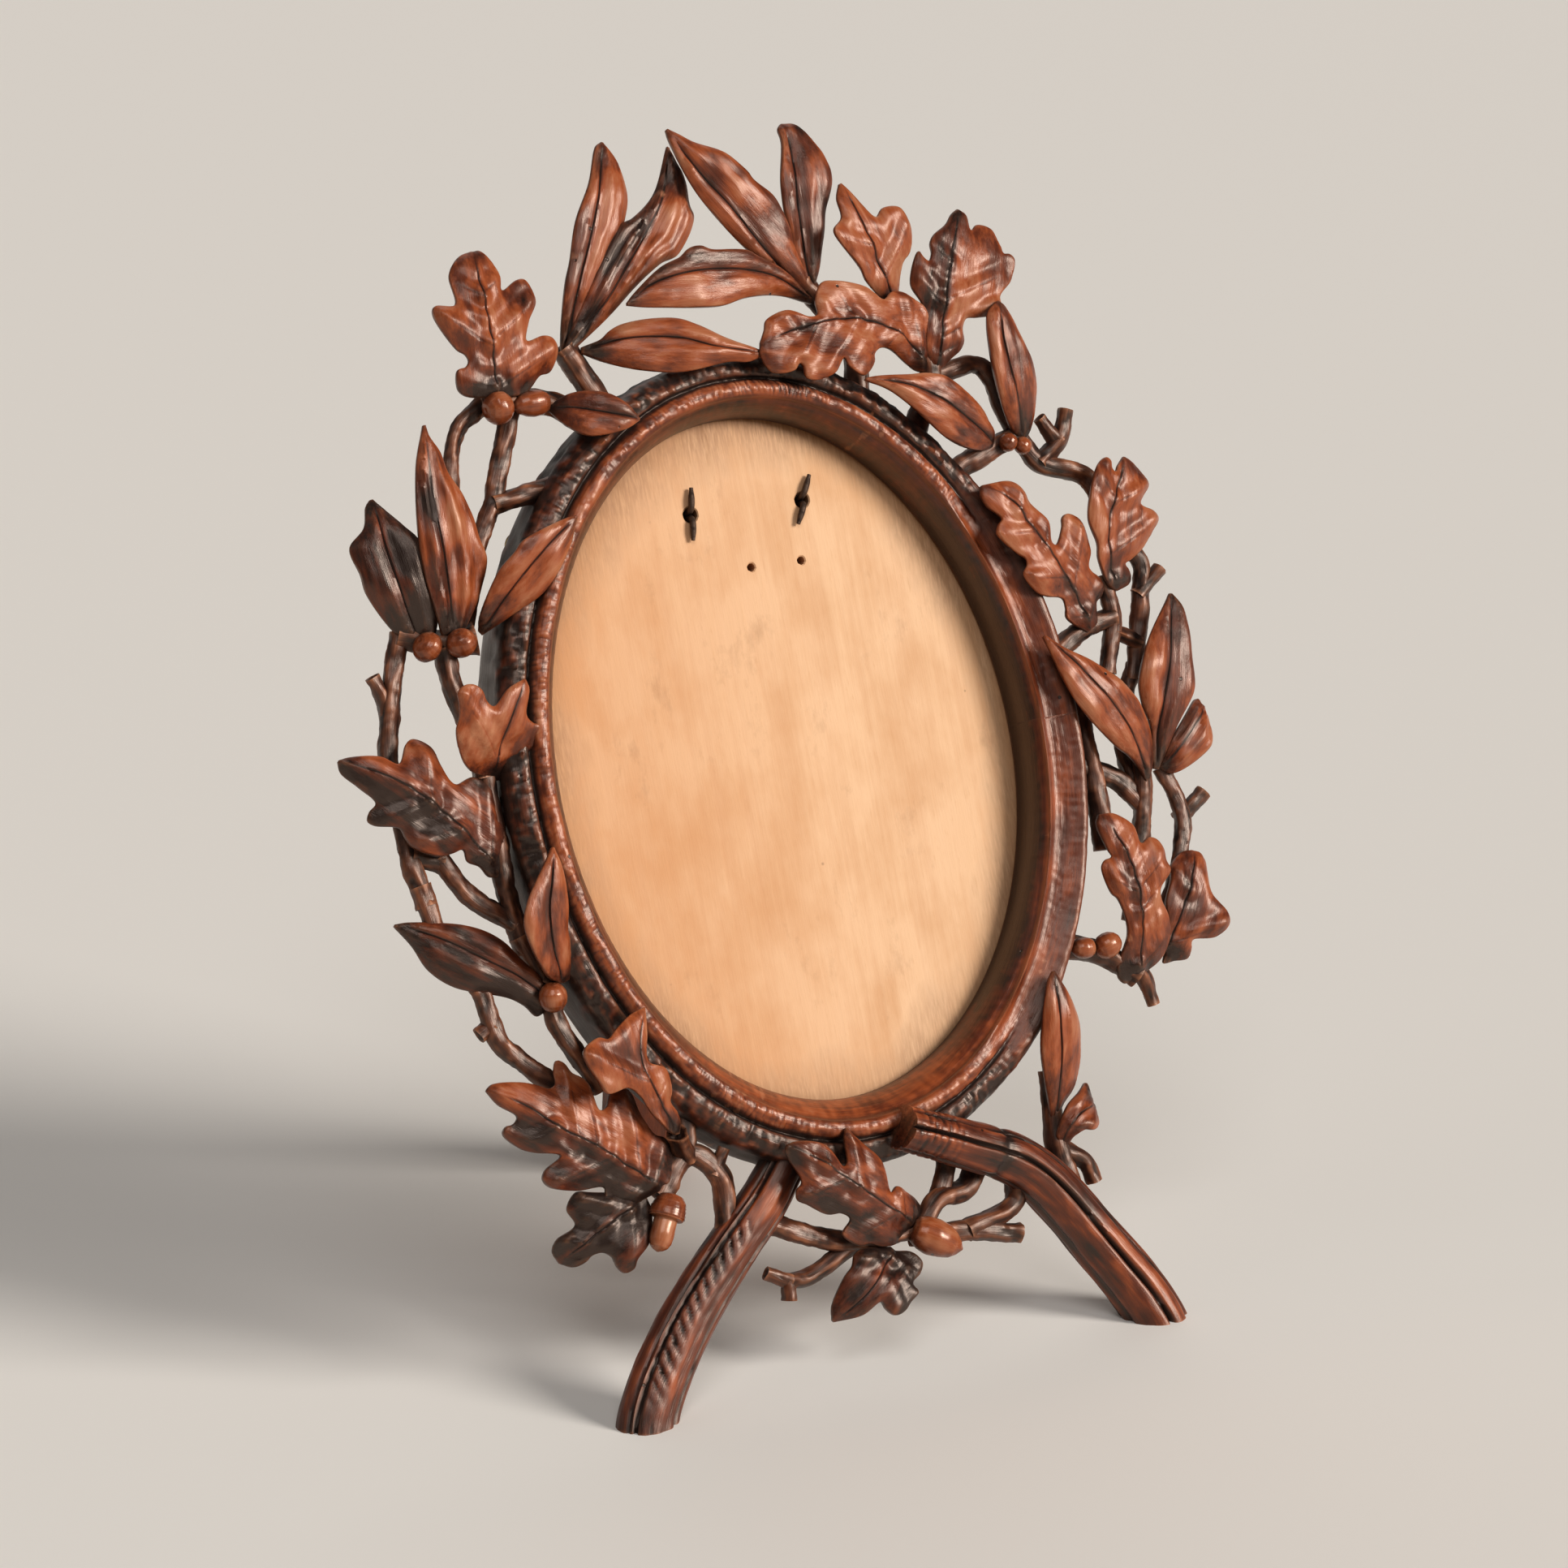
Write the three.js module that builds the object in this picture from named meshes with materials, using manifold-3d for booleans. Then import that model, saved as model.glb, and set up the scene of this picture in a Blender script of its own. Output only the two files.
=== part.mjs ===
// Carved easel photograph frame: an oval ring cut like a bent branch and wreathed in oak and laurel sprays, on two
// branch legs, with a loose back board held by turn buttons and a strut hinged to the board on linked split pins.
// Millimetres. Each piece is drawn flat, as it lies on the bench with the picture facing up: x to the right, y up
// the frame, z out of the picture, and z = 0 on the back of the ring. One group then leans the frame back.
import * as THREE from 'three';
import { mergeVertices } from 'three/addons/utils/BufferGeometryUtils.js';
import Module from 'manifold-3d';

const wasm = await Module();
wasm.setup();

// How it stands
const LEAN = 21; // degrees that the frame leans back
const CENTRE_HEIGHT = 111; // middle of the opening above the table
const FOOT_SPREAD_LEFT = 54.5; // foot from the middle of the frame
const FOOT_SPREAD_RIGHT = 57;

// Oval ring
const SIGHT_HALF_WIDTH = 52.5;
const SIGHT_HALF_HEIGHT = 72;
const RING_WIDTH = 9.5; // sight edge to outer edge
const RING_DEPTH = 15; // back to sight edge
const SIDE_DEPTH = 11.5; // back to where the outer band starts to round over
const BEAD_WIDTH = 3.6; // inner bead, like a thin branch laid on the ring
const BEAD_RISE = 1.5;
const BEVEL_INSET = 2.6; // the sight bevel runs in this far, from the bead down to the rebate
const SILL_INSET = 1.8; // and this much further at the bottom, where the knife left more wood
const REBATE_WIDTH = 3;
const REBATE_DEPTH = 6;
const LIP_THICKNESS = 1; // wood left between the bevel and the rebate

// Back board
const BOARD_THICKNESS = 5.5;
const BOARD_CLEARANCE = 0.4;
const NAIL_HOLE_RADIUS = 0.9;
const NAIL_HOLE_DROP = 32.5; // below the top of the opening
const NAIL_HOLE_PLACES = [0.5, 11.5]; // from the middle

// Snipe hinges: split pins linked eye in eye, one through the board and one through the strut
const HINGE_DROP = 20.5; // below the top of the opening
const HINGE_SPACING = 24.5;
const HINGE_SHIFT = 1.8; // the pair sits a little right of the middle
const WIRE = 1.3;
const EYE_RADIUS = 2; // to the middle of the wire
const LINK_PLAY = 0.3;
const PIN_CLEARANCE = 0.3;
const TAIL_LENGTH = 4.6;
const TAIL_TILTS = [10, 28]; // degrees that the clinched tails lean to the right, left pin first

// Strut
const STRUT_OPEN = 39; // degrees between strut and board
const STRUT_THICKNESS = 6;
const STRUT_MARGIN = 6; // wood outside each pin
const STRUT_HEAD = 14; // wood above the pins
const STRUT_FOOT_WIDTH = 14;
const STOP_GAP = 0.3;

// Turn buttons and their screws
const BUTTON_CLOCKS = [40, 140, 220, 320]; // degrees clockwise from the top, seen from the front
const BUTTON_WIDTH = 6;
const BUTTON_THICKNESS = 1.2;
const BUTTON_LAP = 5; // how far the tongue lies over the board
const SCREW_RADIUS = 1;
const SCREW_DEPTH = 6;
const SCREW_HEAD_RADIUS = 2.1;
const SCREW_HEAD_HEIGHT = 1.3;
const SCREW_SLOT = 0.6;
const SCREW_CLEARANCE = 0.3;

// Carving
const LEAF_THICKNESS = 2.6; // at the rib
const LEAF_EDGE = 1.4;
const LEAF_FOLD = 0.2; // fall from rib to edge, per millimetre of width
const LEAF_ARCH = 3; // the rib bows out this far
const LOBE_WEB = 0.55; // leaf between the lobes, as a share of their reach
const BASE_HALF_WIDTH = 0.8;
const SEAT_GAP = 0.3; // between pieces that touch
const LEG_HIP = [4.6, 5.6]; // half width and half depth where a leg leaves the ring
const LEG_FOOT = [6.8, 6.2];
const LEG_Z = 7.5;
const SHIN_BOW = 2; // the shin bends out this far
const FOOT_RUN_OUT = 12; // legs are drawn past the table and cut off level

const LAUREL_STATIONS = 7;
const OAK_STATIONS = 15;
const TWIG_SIDES = 5;
const WIRE_SIDES = 6;
const RING_STATIONS = 56;
const EYE_STATIONS = 10;
const PIN_STATIONS = 34;

const HINGE_HEIGHT = SIGHT_HALF_HEIGHT - HINGE_DROP;
const NAIL_HOLE_HEIGHT = SIGHT_HALF_HEIGHT - NAIL_HOLE_DROP;
const OUTER_HALF_WIDTH = SIGHT_HALF_WIDTH + RING_WIDTH;
const OUTER_HALF_HEIGHT = SIGHT_HALF_HEIGHT + RING_WIDTH;

// The wreath. A place on it is [clock, out]: degrees clockwise from the top, and millimetres outside the ring's edge.
// A leaf runs from base to tip; rise is its height above the ring's back at each end, bow bends it to its left.
// An oak leaf has a round end and lobes to each side, each [share of the way along the rib, reach, half breadth].
// A twig's path has a rise and a radius at each end. Fruit is a ball, or an acorn drawn out along its stem.
const SPRAYS = {
  crest_left_spray: {
    laurel: [
      { base: [-20, 14.8], tip: [-7.5, 47], width: 10.4, bow: -2.2, rise: [8.5, 9] },
      { base: [-20, 13], tip: [-1.5, 41.3], width: 12.8, bow: -2.6, rise: [10, 9] },
      { base: [-21, 13.5], tip: [4, -1.7], width: 10, bow: 2.9, rise: [11, 17.5] },
    ],
    twigs: [{ path: [[-20.5, 15], [-20, 9.5], [-19, -2]], rise: [9.5, 8], radius: [2.3, 2.6] }],
  },
  upper_left_spray: {
    oak: [
      {
        base: [-31.5, 18.6], tip: [-24, 40.6], end: 4.7, bow: 0, rise: [13, 11],
        left: [[0.06, 8.9, 2], [0.41, 12.2, 2.2]], right: [[0.16, 13.5, 3.4], [0.51, 11.5, 3.7]],
      },
    ],
    laurel: [{ base: [-27.5, 10.7], tip: [-17, -2], width: 7.2, bow: 1.3, rise: [11, 18] }],
    twigs: [
      { path: [[-34, 20], [-27, 10.5], [-22, -2]], rise: [10, 9], radius: [2.2, 2.5] },
      { path: [[-33, 19], [-37, 20.7], [-41, 19], [-46, 13.5]], rise: [8, 6], radius: [1.7, 1.5] },
      {
        path: [[-30, 14.2], [-37, 9.6], [-42, 7.5], [-48, 7.2], [-60, 6.4]],
        rise: [7.5, 7], radius: [1.9, 1.7],
      },
      { path: [[-42, 7.5], [-37, 2], [-33, -2.5]], rise: [8, 8], radius: [1.8, 2.2] },
    ],
    fruit: [
      { at: [-33, 17.1], radius: 3.5, rise: 12.5 },
      { at: [-29, 12.2], radius: 2.9, rise: 11.5 },
    ],
  },
  crest_middle_spray: {
    laurel: [
      { base: [12.5, 15.6], tip: [-1.5, 45.8], width: 12.5, bow: -1, rise: [9, 13.5] },
      { base: [12, 15.3], tip: [-12, 15], width: 10.2, bow: -2.2, rise: [10, 17] },
      { base: [14, 15.6], tip: [10, 48], width: 10.4, bow: -1.9, rise: [9, 9] },
    ],
    twigs: [{ path: [[12.5, 17], [16, 13.2], [20, 8.9], [23, -2]], rise: [9, 8], radius: [2.2, 2.4] }],
  },
  crest_right_spray: {
    oak: [
      {
        base: [23.5, 20], tip: [16, 38], end: 2.4, bow: 0, rise: [10.5, 14],
        left: [[0.5, 8.2, 2.5]], right: [[0.45, 10.8, 4.4]],
      },
      {
        base: [32, 11.7], tip: [28, 44.3], end: 2.9, bow: 0, rise: [10, 10],
        left: [[0.5, 10.2, 1.7], [0.67, 7.3, 2.5]],
        right: [[0.34, 14, 2], [0.54, 15.8, 3.4], [0.76, 8.6, 2.4]],
      },
      {
        base: [32.5, 10.5], tip: [5, 4.7], end: 2.5, bow: -2.2, rise: [9.5, 19],
        left: [[0.34, 7.9, 2.4], [0.55, 13, 3.4], [0.75, 12.2, 3]],
        right: [[0.24, 11.3, 2.7], [0.57, 9.7, 3.2]],
      },
    ],
    twigs: [{ path: [[23, 21], [29, 16], [32, 12], [33, -2]], rise: [10, 8.5], radius: [1.8, 2.5] }],
  },
  right_shoulder_spray: {
    laurel: [
      { base: [44, 8.5], tip: [22, 0.8], width: 10.5, bow: -1, rise: [11, 18.5] },
      { base: [47, 16.8], tip: [36, 33], width: 10.4, bow: -1, rise: [9.5, 14.5] },
    ],
    twigs: [
      {
        path: [[35, 14.5], [38, 21.5], [46, 17.5], [52, 17.6], [58, 25], [61, 25]],
        rise: [7, 6], radius: [1.8, 2],
      },
      { path: [[52, 17.6], [52, 24], [50, 29]], rise: [7, 9], radius: [2, 1.5] },
      { path: [[52, 23.5], [48, 23]], rise: [8, 9], radius: [1.6, 1.2] },
      { path: [[47, 17], [44, 7], [41, -2]], rise: [8.5, 9], radius: [2, 2.4] },
    ],
    fruit: [
      { at: [46, 12.4], radius: 1.9, rise: 11.5 },
      { at: [48, 14.7], radius: 1.9, rise: 11.5 },
    ],
  },
  right_upper_spray: {
    oak: [
      {
        base: [75.5, 7.2], tip: [46, -1.6], end: 3, bow: 0, rise: [10.5, 18],
        left: [[0.39, 7.3, 2.7], [0.71, 4.9, 2]], right: [[0.5, 7.5, 2], [0.75, 8.4, 2.2]],
      },
      {
        base: [72, 14.5], tip: [61, 34.6], end: 3.4, bow: 0, rise: [9.5, 11],
        left: [[0.25, 13.2, 2.5], [0.65, 11.4, 2.9]], right: [[0.14, 6.1, 2], [0.49, 9.5, 3.5]],
      },
    ],
    twigs: [
      { path: [[70, 17], [76, 16.5], [82, 12]], rise: [8.5, 7], radius: [1.8, 1.7] },
      { path: [[66, 24], [71, 27.2], [76, 24.5], [82, 20.8]], rise: [8, 5], radius: [1.7, 1.8] },
      { path: [[75, 24.4], [73, 31]], rise: [6.5, 7.5], radius: [1.6, 1.4] },
      { path: [[78, 15.5], [81, 21.5]], rise: [7, 6], radius: [1.6, 1.6] },
      { path: [[76, 16.5], [76, 8], [79, -2]], rise: [8, 9], radius: [1.9, 2.3] },
    ],
  },
  right_middle_spray: {
    laurel: [
      { base: [98.5, 14], tip: [73.5, -3.4], width: 14.2, bow: 1.3, rise: [10, 18] },
      { base: [98, 16], tip: [77, 29.6], width: 12.1, bow: 0, rise: [9, 10] },
      { base: [100, 17.5], tip: [92, 32.5], width: 8.6, bow: 1.6, rise: [8, 8] },
    ],
    twigs: [
      { path: [[97, 15.5], [105, 15.2], [110, 15], [117, 14.8]], rise: [9, 6], radius: [1.9, 1.8] },
      { path: [[105, 15.5], [101, 9.3], [98, -2]], rise: [8, 7], radius: [1.9, 2.2] },
      { path: [[84, 20], [88, 15.9], [97, 13], [104, 16]], rise: [4.5, 7], radius: [1.7, 1.8] },
    ],
  },
  right_lower_spray: {
    oak: [
      {
        base: [128.5, 15.2], tip: [109, 3.2], end: 2.4, bow: 0, rise: [10, 14],
        left: [[0.59, 4.1, 1.8]], right: [[0.38, 10, 1.7], [0.61, 9.7, 2.5]],
      },
      {
        base: [126, 18], tip: [117, 34.5], end: 2, bow: 0, rise: [8, 8.5],
        left: [[0.5, 16, 2.9], [0.68, 7.4, 1.7]], right: [[0.27, 5, 1.8], [0.61, 3.2, 1.5]],
      },
    ],
    twigs: [
      { path: [[129, 18], [129, 9.4], [132, -2]], rise: [9, 9], radius: [2.2, 2.6] },
      { path: [[128, 17], [129, 20.2], [131, 23.7]], rise: [9, 8], radius: [2.1, 1.2] },
      {
        path: [[100.5, 22.7], [105, 25], [110, 24.7], [117, 23], [127, 17]],
        rise: [5, 7.5], radius: [1.6, 1.9],
      },
      { path: [[106, 25], [102, 30.3]], rise: [5.5, 6.5], radius: [1.7, 1.5] },
    ],
    fruit: [
      { at: [131, 3.2], radius: 2.2, rise: 12 },
      { at: [128, 8.3], radius: 2.6, rise: 12 },
    ],
  },
  right_leg_spray: {
    laurel: [{ base: [150.5, 12], tip: [136, -0.4], width: 9.4, bow: 0.3, rise: [8.5, 17.5] }],
    oak: [
      {
        base: [153, 17], tip: [145, 19.5], end: 2, bow: 0, rise: [9, 10],
        left: [[0.61, 5.4, 1.3]], right: [[0.53, 5, 1.5]],
      },
    ],
    twigs: [
      { path: [[150, 10.5], [153, 16.9], [155, 27]], rise: [8.5, 8], radius: [2, 2.4] },
      { path: [[153.5, 19], [151.5, 25.7], [152, 30]], rise: [8, 7], radius: [1.9, 1.4] },
    ],
  },
  bottom_spray: {
    oak: [
      {
        base: [175, 14.3], tip: [-166, -2.8], end: 2.4, bow: 0, rise: [9.5, 18.5],
        left: [[0.24, 10.5, 2.7], [0.58, 9.7, 2.4]], right: [[0.33, 7.6, 2], [0.54, 11, 2.4]],
      },
      {
        base: [175, 15.4], tip: [-174, 29.3], end: 2.4, bow: 0, rise: [9.5, 8.5],
        left: [[0.43, 9.1, 2.5]], right: [[0.38, 7, 2]],
      },
    ],
    twigs: [
      { path: [[176, 15.5], [169, 19.2], [163, 25.8]], rise: [9, 8], radius: [2, 1.9] },
      { path: [[169, 19.2], [162, 20.2], [160, 15]], rise: [8.5, 8], radius: [2, 2.2] },
      { path: [[175, 15.5], [171, 11.1], [167, 12], [163, 9]], rise: [9, 7], radius: [2, 2.3] },
      { path: [[171, 11.1], [168, 5], [168, -2]], rise: [8, 7], radius: [1.9, 2.1] },
      { path: [[174, 15], [-175, 14.1], [-166, 12]], rise: [9, 8], radius: [2, 2.2] },
      { path: [[-177, 14.6], [-171, 21.3], [-169, 22.5], [-169, 26]], rise: [7.5, 6.5], radius: [1.9, 1.5] },
      { path: [[-169, 22.5], [-166, 21.4]], rise: [6.8, 7], radius: [1.6, 1.2] },
    ],
    fruit: [{ at: [173, 18], radius: 3.6, rise: 11, stem: [175, 15], stretch: 1.15 }],
  },
  lower_left_spray: {
    oak: [
      {
        base: [-152, 15], tip: [-124, 26.3], end: 2.6, bow: 0, rise: [10.5, 12],
        left: [[0.16, 8.5, 3], [0.44, 11.5, 2.4], [0.71, 8.5, 2]],
        right: [[0.33, 13.4, 2.7], [0.61, 12.2, 2.6]],
      },
      {
        base: [-149, 4.3], tip: [-133, -6.3], end: 2.7, bow: 0, rise: [14, 18.5],
        left: [[0.55, 16.2, 3]], right: [[0.2, 3.4, 1.7], [0.49, 4, 2.4]],
      },
      {
        base: [-151, 14.5], tip: [-144, 36], end: 3, bow: 0, rise: [9, 5],
        left: [[0.42, 9.7, 2.4]], right: [[0.49, 9, 2]],
      },
    ],
    twigs: [
      { path: [[-151, 16], [-153, 5.5], [-158, 5.9], [-160.5, 15]], rise: [9, 8], radius: [2.2, 2.2] },
      { path: [[-157.5, 6.5], [-158, 0.8]], rise: [8.5, 9.5], radius: [1.6, 1] },
      { path: [[-153, 6], [-149.5, 4.5]], rise: [9, 14], radius: [2, 1.8] },
      { path: [[-153, 5.5], [-151, -2]], rise: [8.5, 8], radius: [2, 2.3] },
    ],
    fruit: [
      { at: [-152, 17.4], radius: 3.3, rise: 11.5 },
      { at: [-152, 22.5], radius: 2.4, rise: 11.5, stem: [-152, 17.4], stretch: 1.6 },
    ],
  },
  left_lower_spray: {
    laurel: [
      { base: [-121, 5], tip: [-103, 27.5], width: 10.2, bow: 1.6, rise: [9, 6.5] },
      { base: [-121, 4], tip: [-101, -5], width: 10.2, bow: -0.6, rise: [11.5, 18.5] },
    ],
    twigs: [
      { path: [[-114, 4], [-121.5, 3.6], [-126, 5.5], [-131, 9.2]], rise: [8.5, 7], radius: [2, 1.9] },
      {
        path: [[-100, 19.5], [-109, 19], [-115, 16], [-122, 17.7], [-127, 15.9], [-131, 13]],
        rise: [8, 8], radius: [1.8, 1.9],
      },
      { path: [[-120, 17.2], [-120, 20.6]], rise: [8, 8], radius: [1.6, 1.3] },
      { path: [[-121, 4], [-119, -2]], rise: [9, 8.5], radius: [2, 2.3] },
    ],
    fruit: [{ at: [-122, 4.6], radius: 2.8, rise: 12 }],
  },
  left_middle_spray: {
    oak: [
      {
        base: [-99, 4], tip: [-82.5, 32.3], end: 2.1, bow: 0, rise: [9.5, 11],
        left: [[0.36, 9.1, 2.4], [0.57, 9, 1.8]], right: [[0.51, 13.5, 3]],
      },
      {
        base: [-86, 3.8], tip: [-66, -4.4], end: 2.7, bow: 0, rise: [10, 18.5],
        left: [[0.08, 11.7, 2.5], [0.4, 11.3, 2]], right: [[0.47, 6.6, 2.4]],
      },
    ],
    twigs: [
      { path: [[-84, 2.6], [-99, 2.6], [-106, 3.3], [-112, 4.2]], rise: [9, 8], radius: [2, 2] },
      { path: [[-96, 14], [-103, 10.2], [-110, 3.5]], rise: [6.5, 8], radius: [1.8, 2] },
      { path: [[-89, 18.5], [-95, 19.8], [-98.5, 19.6]], rise: [7.5, 6.5], radius: [1.9, 1.8] },
      { path: [[-95, 19.5], [-97, 13.5]], rise: [6.5, 6.5], radius: [1.7, 1.8] },
    ],
  },
  left_upper_spray: {
    laurel: [
      { base: [-63.5, 12.3], tip: [-51.5, 31.7], width: 11.3, bow: 2.6, rise: [8.5, 8] },
      { base: [-63, 8.7], tip: [-41, 27.6], width: 12.3, bow: -0.6, rise: [11, 13] },
      { base: [-62, 5.4], tip: [-38.5, -7.3], width: 9.8, bow: 0.6, rise: [10.5, 18.5] },
    ],
    twigs: [
      { path: [[-65, 19.6], [-64.5, 13], [-63.5, 8], [-62, 4.5]], rise: [7, 10], radius: [2.2, 3] },
      { path: [[-65, 10.5], [-71, 7.9], [-77, 4.2], [-82, 2.6]], rise: [9, 9], radius: [2.1, 2] },
      { path: [[-64.5, 19], [-73, 19.8], [-82, 20.5], [-87.5, 19.2]], rise: [6.5, 5], radius: [1.9, 1.9] },
      { path: [[-76, 19.8], [-73, 21.6], [-71, 23.8]], rise: [5.5, 6.5], radius: [1.7, 1.4] },
    ],
    fruit: [
      { at: [-65.8, 14.3], radius: 3.1, rise: 10.5 },
      { at: [-64, 8.1], radius: 3.1, rise: 12.5 },
    ],
  },
};

const stainedWood = new THREE.MeshStandardMaterial({ color: 0x5a2a18, roughness: 0.45, metalness: 0 });
const ringWood = new THREE.MeshStandardMaterial({ color: 0x4d2215, roughness: 0.5, metalness: 0 });
const paleWood = new THREE.MeshStandardMaterial({ color: 0xd9ab78, roughness: 0.75, metalness: 0 });
const strutWood = new THREE.MeshStandardMaterial({ color: 0x6b3a22, roughness: 0.65, metalness: 0 });
const ironWire = new THREE.MeshStandardMaterial({ color: 0x3b2c24, roughness: 0.6, metalness: 0.8 });
const brass = new THREE.MeshStandardMaterial({ color: 0x9a7a3a, roughness: 0.4, metalness: 1 });

const radians = THREE.MathUtils.degToRad;
const lerp = THREE.MathUtils.lerp;

// Closed mesh to solid and back
function solidOf(geometry) {
  const bare = geometry.clone();
  bare.deleteAttribute('normal');
  bare.deleteAttribute('uv');
  const merged = mergeVertices(bare, 1e-4);
  const mesh = new wasm.Mesh({
    numProp: 3,
    vertProperties: Float32Array.from(merged.attributes.position.array),
    triVerts: Uint32Array.from(merged.index.array),
  });
  return new wasm.Manifold(mesh);
}

function geometryOf(solid) {
  const mesh = solid.getMesh();
  const geometry = new THREE.BufferGeometry();
  geometry.setAttribute('position', new THREE.BufferAttribute(Float32Array.from(mesh.vertProperties), 3));
  geometry.setIndex(new THREE.BufferAttribute(Uint32Array.from(mesh.triVerts), 1));
  geometry.computeVertexNormals();
  return geometry;
}

function joined(geometries) {
  return geometries.map(solidOf).reduce((whole, next) => whole.add(next));
}

// A cut can leave a chip that nothing holds: only the main body is kept.
function mainBody(solid) {
  const bodies = solid.decompose();
  return bodies.reduce((best, body) => (body.volume() > best.volume() ? body : best));
}

function meshFrom(positions, triangles) {
  const geometry = new THREE.BufferGeometry();
  geometry.setAttribute('position', new THREE.Float32BufferAttribute(positions, 3));
  geometry.setIndex(triangles);
  return geometry;
}

// Rings of points, each joined to the next. A loop closes on its first ring; otherwise both ends are capped.
function loft(rings, closed = false) {
  const sides = rings[0].length;
  const positions = rings.flat().flatMap((point) => point.toArray());
  const triangles = [];
  const joins = closed ? rings.length : rings.length - 1;
  for (let i = 0; i < joins; i++) {
    const here = i * sides;
    const there = ((i + 1) % rings.length) * sides;
    for (let j = 0; j < sides; j++) {
      const k = (j + 1) % sides;
      triangles.push(here + j, here + k, there + k, here + j, there + k, there + j);
    }
  }
  if (!closed) {
    const last = (rings.length - 1) * sides;
    for (let j = 1; j < sides - 1; j++) {
      triangles.push(0, j + 1, j, last, last + j, last + j + 1);
    }
  }
  return meshFrom(positions, triangles);
}

// Ring
function sightNormal(angle) {
  return new THREE.Vector2(Math.cos(angle) / SIGHT_HALF_WIDTH, Math.sin(angle) / SIGHT_HALF_HEIGHT).normalize();
}

// A point at this distance outside the sight edge
function offSight(angle, out) {
  const edge = new THREE.Vector2(SIGHT_HALF_WIDTH * Math.cos(angle), SIGHT_HALF_HEIGHT * Math.sin(angle));
  return edge.addScaledVector(sightNormal(angle), out);
}

function bevelInset(angle) {
  const low = Math.max(0, -Math.sin(angle));
  return BEVEL_INSET + SILL_INSET * low * low;
}

// Section of the ring as [outside the sight edge, height], from the rebate round the back, side and front
function ringSection(angle) {
  const inset = bevelInset(angle);
  const groove = BEAD_WIDTH + 0.5;
  return [
    [REBATE_WIDTH, REBATE_DEPTH],
    [REBATE_WIDTH, 0],
    [RING_WIDTH - 0.6, 0],
    [RING_WIDTH, 1.5],
    [RING_WIDTH, SIDE_DEPTH],
    [RING_WIDTH - 1.6, RING_DEPTH - 1],
    [groove + 0.5, RING_DEPTH + 0.2],
    [groove, RING_DEPTH - 0.7],
    [BEAD_WIDTH * 0.92, RING_DEPTH + BEAD_RISE * 0.5],
    [BEAD_WIDTH * 0.5, RING_DEPTH + BEAD_RISE],
    [0, RING_DEPTH + BEAD_RISE * 0.3],
    [-inset, REBATE_DEPTH + LIP_THICKNESS],
    [-inset, REBATE_DEPTH],
  ];
}

// The ring's outside with no hollows, grown by a gap: what its neighbours are cut with
function ringHull(gap) {
  const top = RING_DEPTH + BEAD_RISE + gap;
  return [
    [-BEVEL_INSET, -gap],
    [RING_WIDTH + gap, -gap],
    [RING_WIDTH + gap, SIDE_DEPTH],
    [RING_WIDTH - 1.6, RING_DEPTH - 1 + gap + 0.3],
    [BEAD_WIDTH, top],
    [0, top],
    [-BEVEL_INSET, REBATE_DEPTH],
  ];
}

function sweepRing(section) {
  const rings = [];
  for (let i = 0; i < RING_STATIONS; i++) {
    const angle = (-2 * Math.PI * i) / RING_STATIONS;
    rings.push(section(angle).map(([out, z]) => {
      const point = offSight(angle, out);
      return new THREE.Vector3(point.x, point.y, z);
    }));
  }
  return loft(rings, true);
}

// Places on the wreath
function onWreath([clock, out]) {
  const angle = radians(clock);
  const across = Math.sin(angle);
  const up = Math.cos(angle);
  const edge = 1 / Math.hypot(across / OUTER_HALF_WIDTH, up / OUTER_HALF_HEIGHT);
  return new THREE.Vector2(across, up).multiplyScalar(edge + out);
}

// Leaves: a row of stations along the rib, each with the rib and a point on either edge, given a thickness
function leafSolid(leaf, stations, gap) {
  const base = onWreath(leaf.base);
  const along = onWreath(leaf.tip).sub(base);
  const length = along.length();
  along.divideScalar(length);
  const aside = new THREE.Vector2(-along.y, along.x);
  const place = (x, y, half) => {
    const share = THREE.MathUtils.clamp(x / length, 0, 1);
    const swell = 4 * share * (1 - share);
    const point = base.clone().addScaledVector(along, x).addScaledVector(aside, y + swell * leaf.bow);
    const rib = lerp(leaf.rise[0], leaf.rise[1], share) + swell * LEAF_ARCH;
    return new THREE.Vector3(point.x, point.y, rib - LEAF_FOLD * Math.abs(y) + half);
  };
  const ribHalf = LEAF_THICKNESS / 2 + gap;
  const edgeHalf = LEAF_EDGE / 2 + gap;
  const rings = stations(length).map(({ rib, left, right }) => [
    place(rib, 0, ribHalf),
    place(right[0], right[1] - gap, edgeHalf),
    place(right[0], right[1] - gap, -edgeHalf),
    place(rib, 0, -ribHalf),
    place(left[0], left[1] + gap, -edgeHalf),
    place(left[0], left[1] + gap, edgeHalf),
  ]);
  return loft(rings);
}

function laurelStations(leaf) {
  const shape = (share) => share ** 0.85 * (1 - share) ** 0.72;
  const widest = shape(0.85 / 1.57);
  return (length) => Array.from({ length: LAUREL_STATIONS + 1 }, (_, i) => {
    const share = i / LAUREL_STATIONS;
    const half = Math.max((leaf.width / 2) * (shape(share) / widest), BASE_HALF_WIDTH / (1 + share));
    return { rib: share * length, left: [share * length, half], right: [share * length, -half] };
  });
}

// Lobes lean forward, more so towards the tip
const lobeLean = (share) => radians(lerp(80, 38, share));

// How far along a station's line the round end of a lobe reaches, or 0 where the line misses it
function reachOf(start, lean, centre, radius) {
  const line = new THREE.Vector2(Math.cos(lean), Math.sin(lean));
  const offset = centre.clone().sub(new THREE.Vector2(start, 0));
  const near = offset.dot(line);
  const room = radius * radius - (offset.lengthSq() - near * near);
  return room > 0 ? Math.max(near + Math.sqrt(room), 0) : 0;
}

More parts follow.
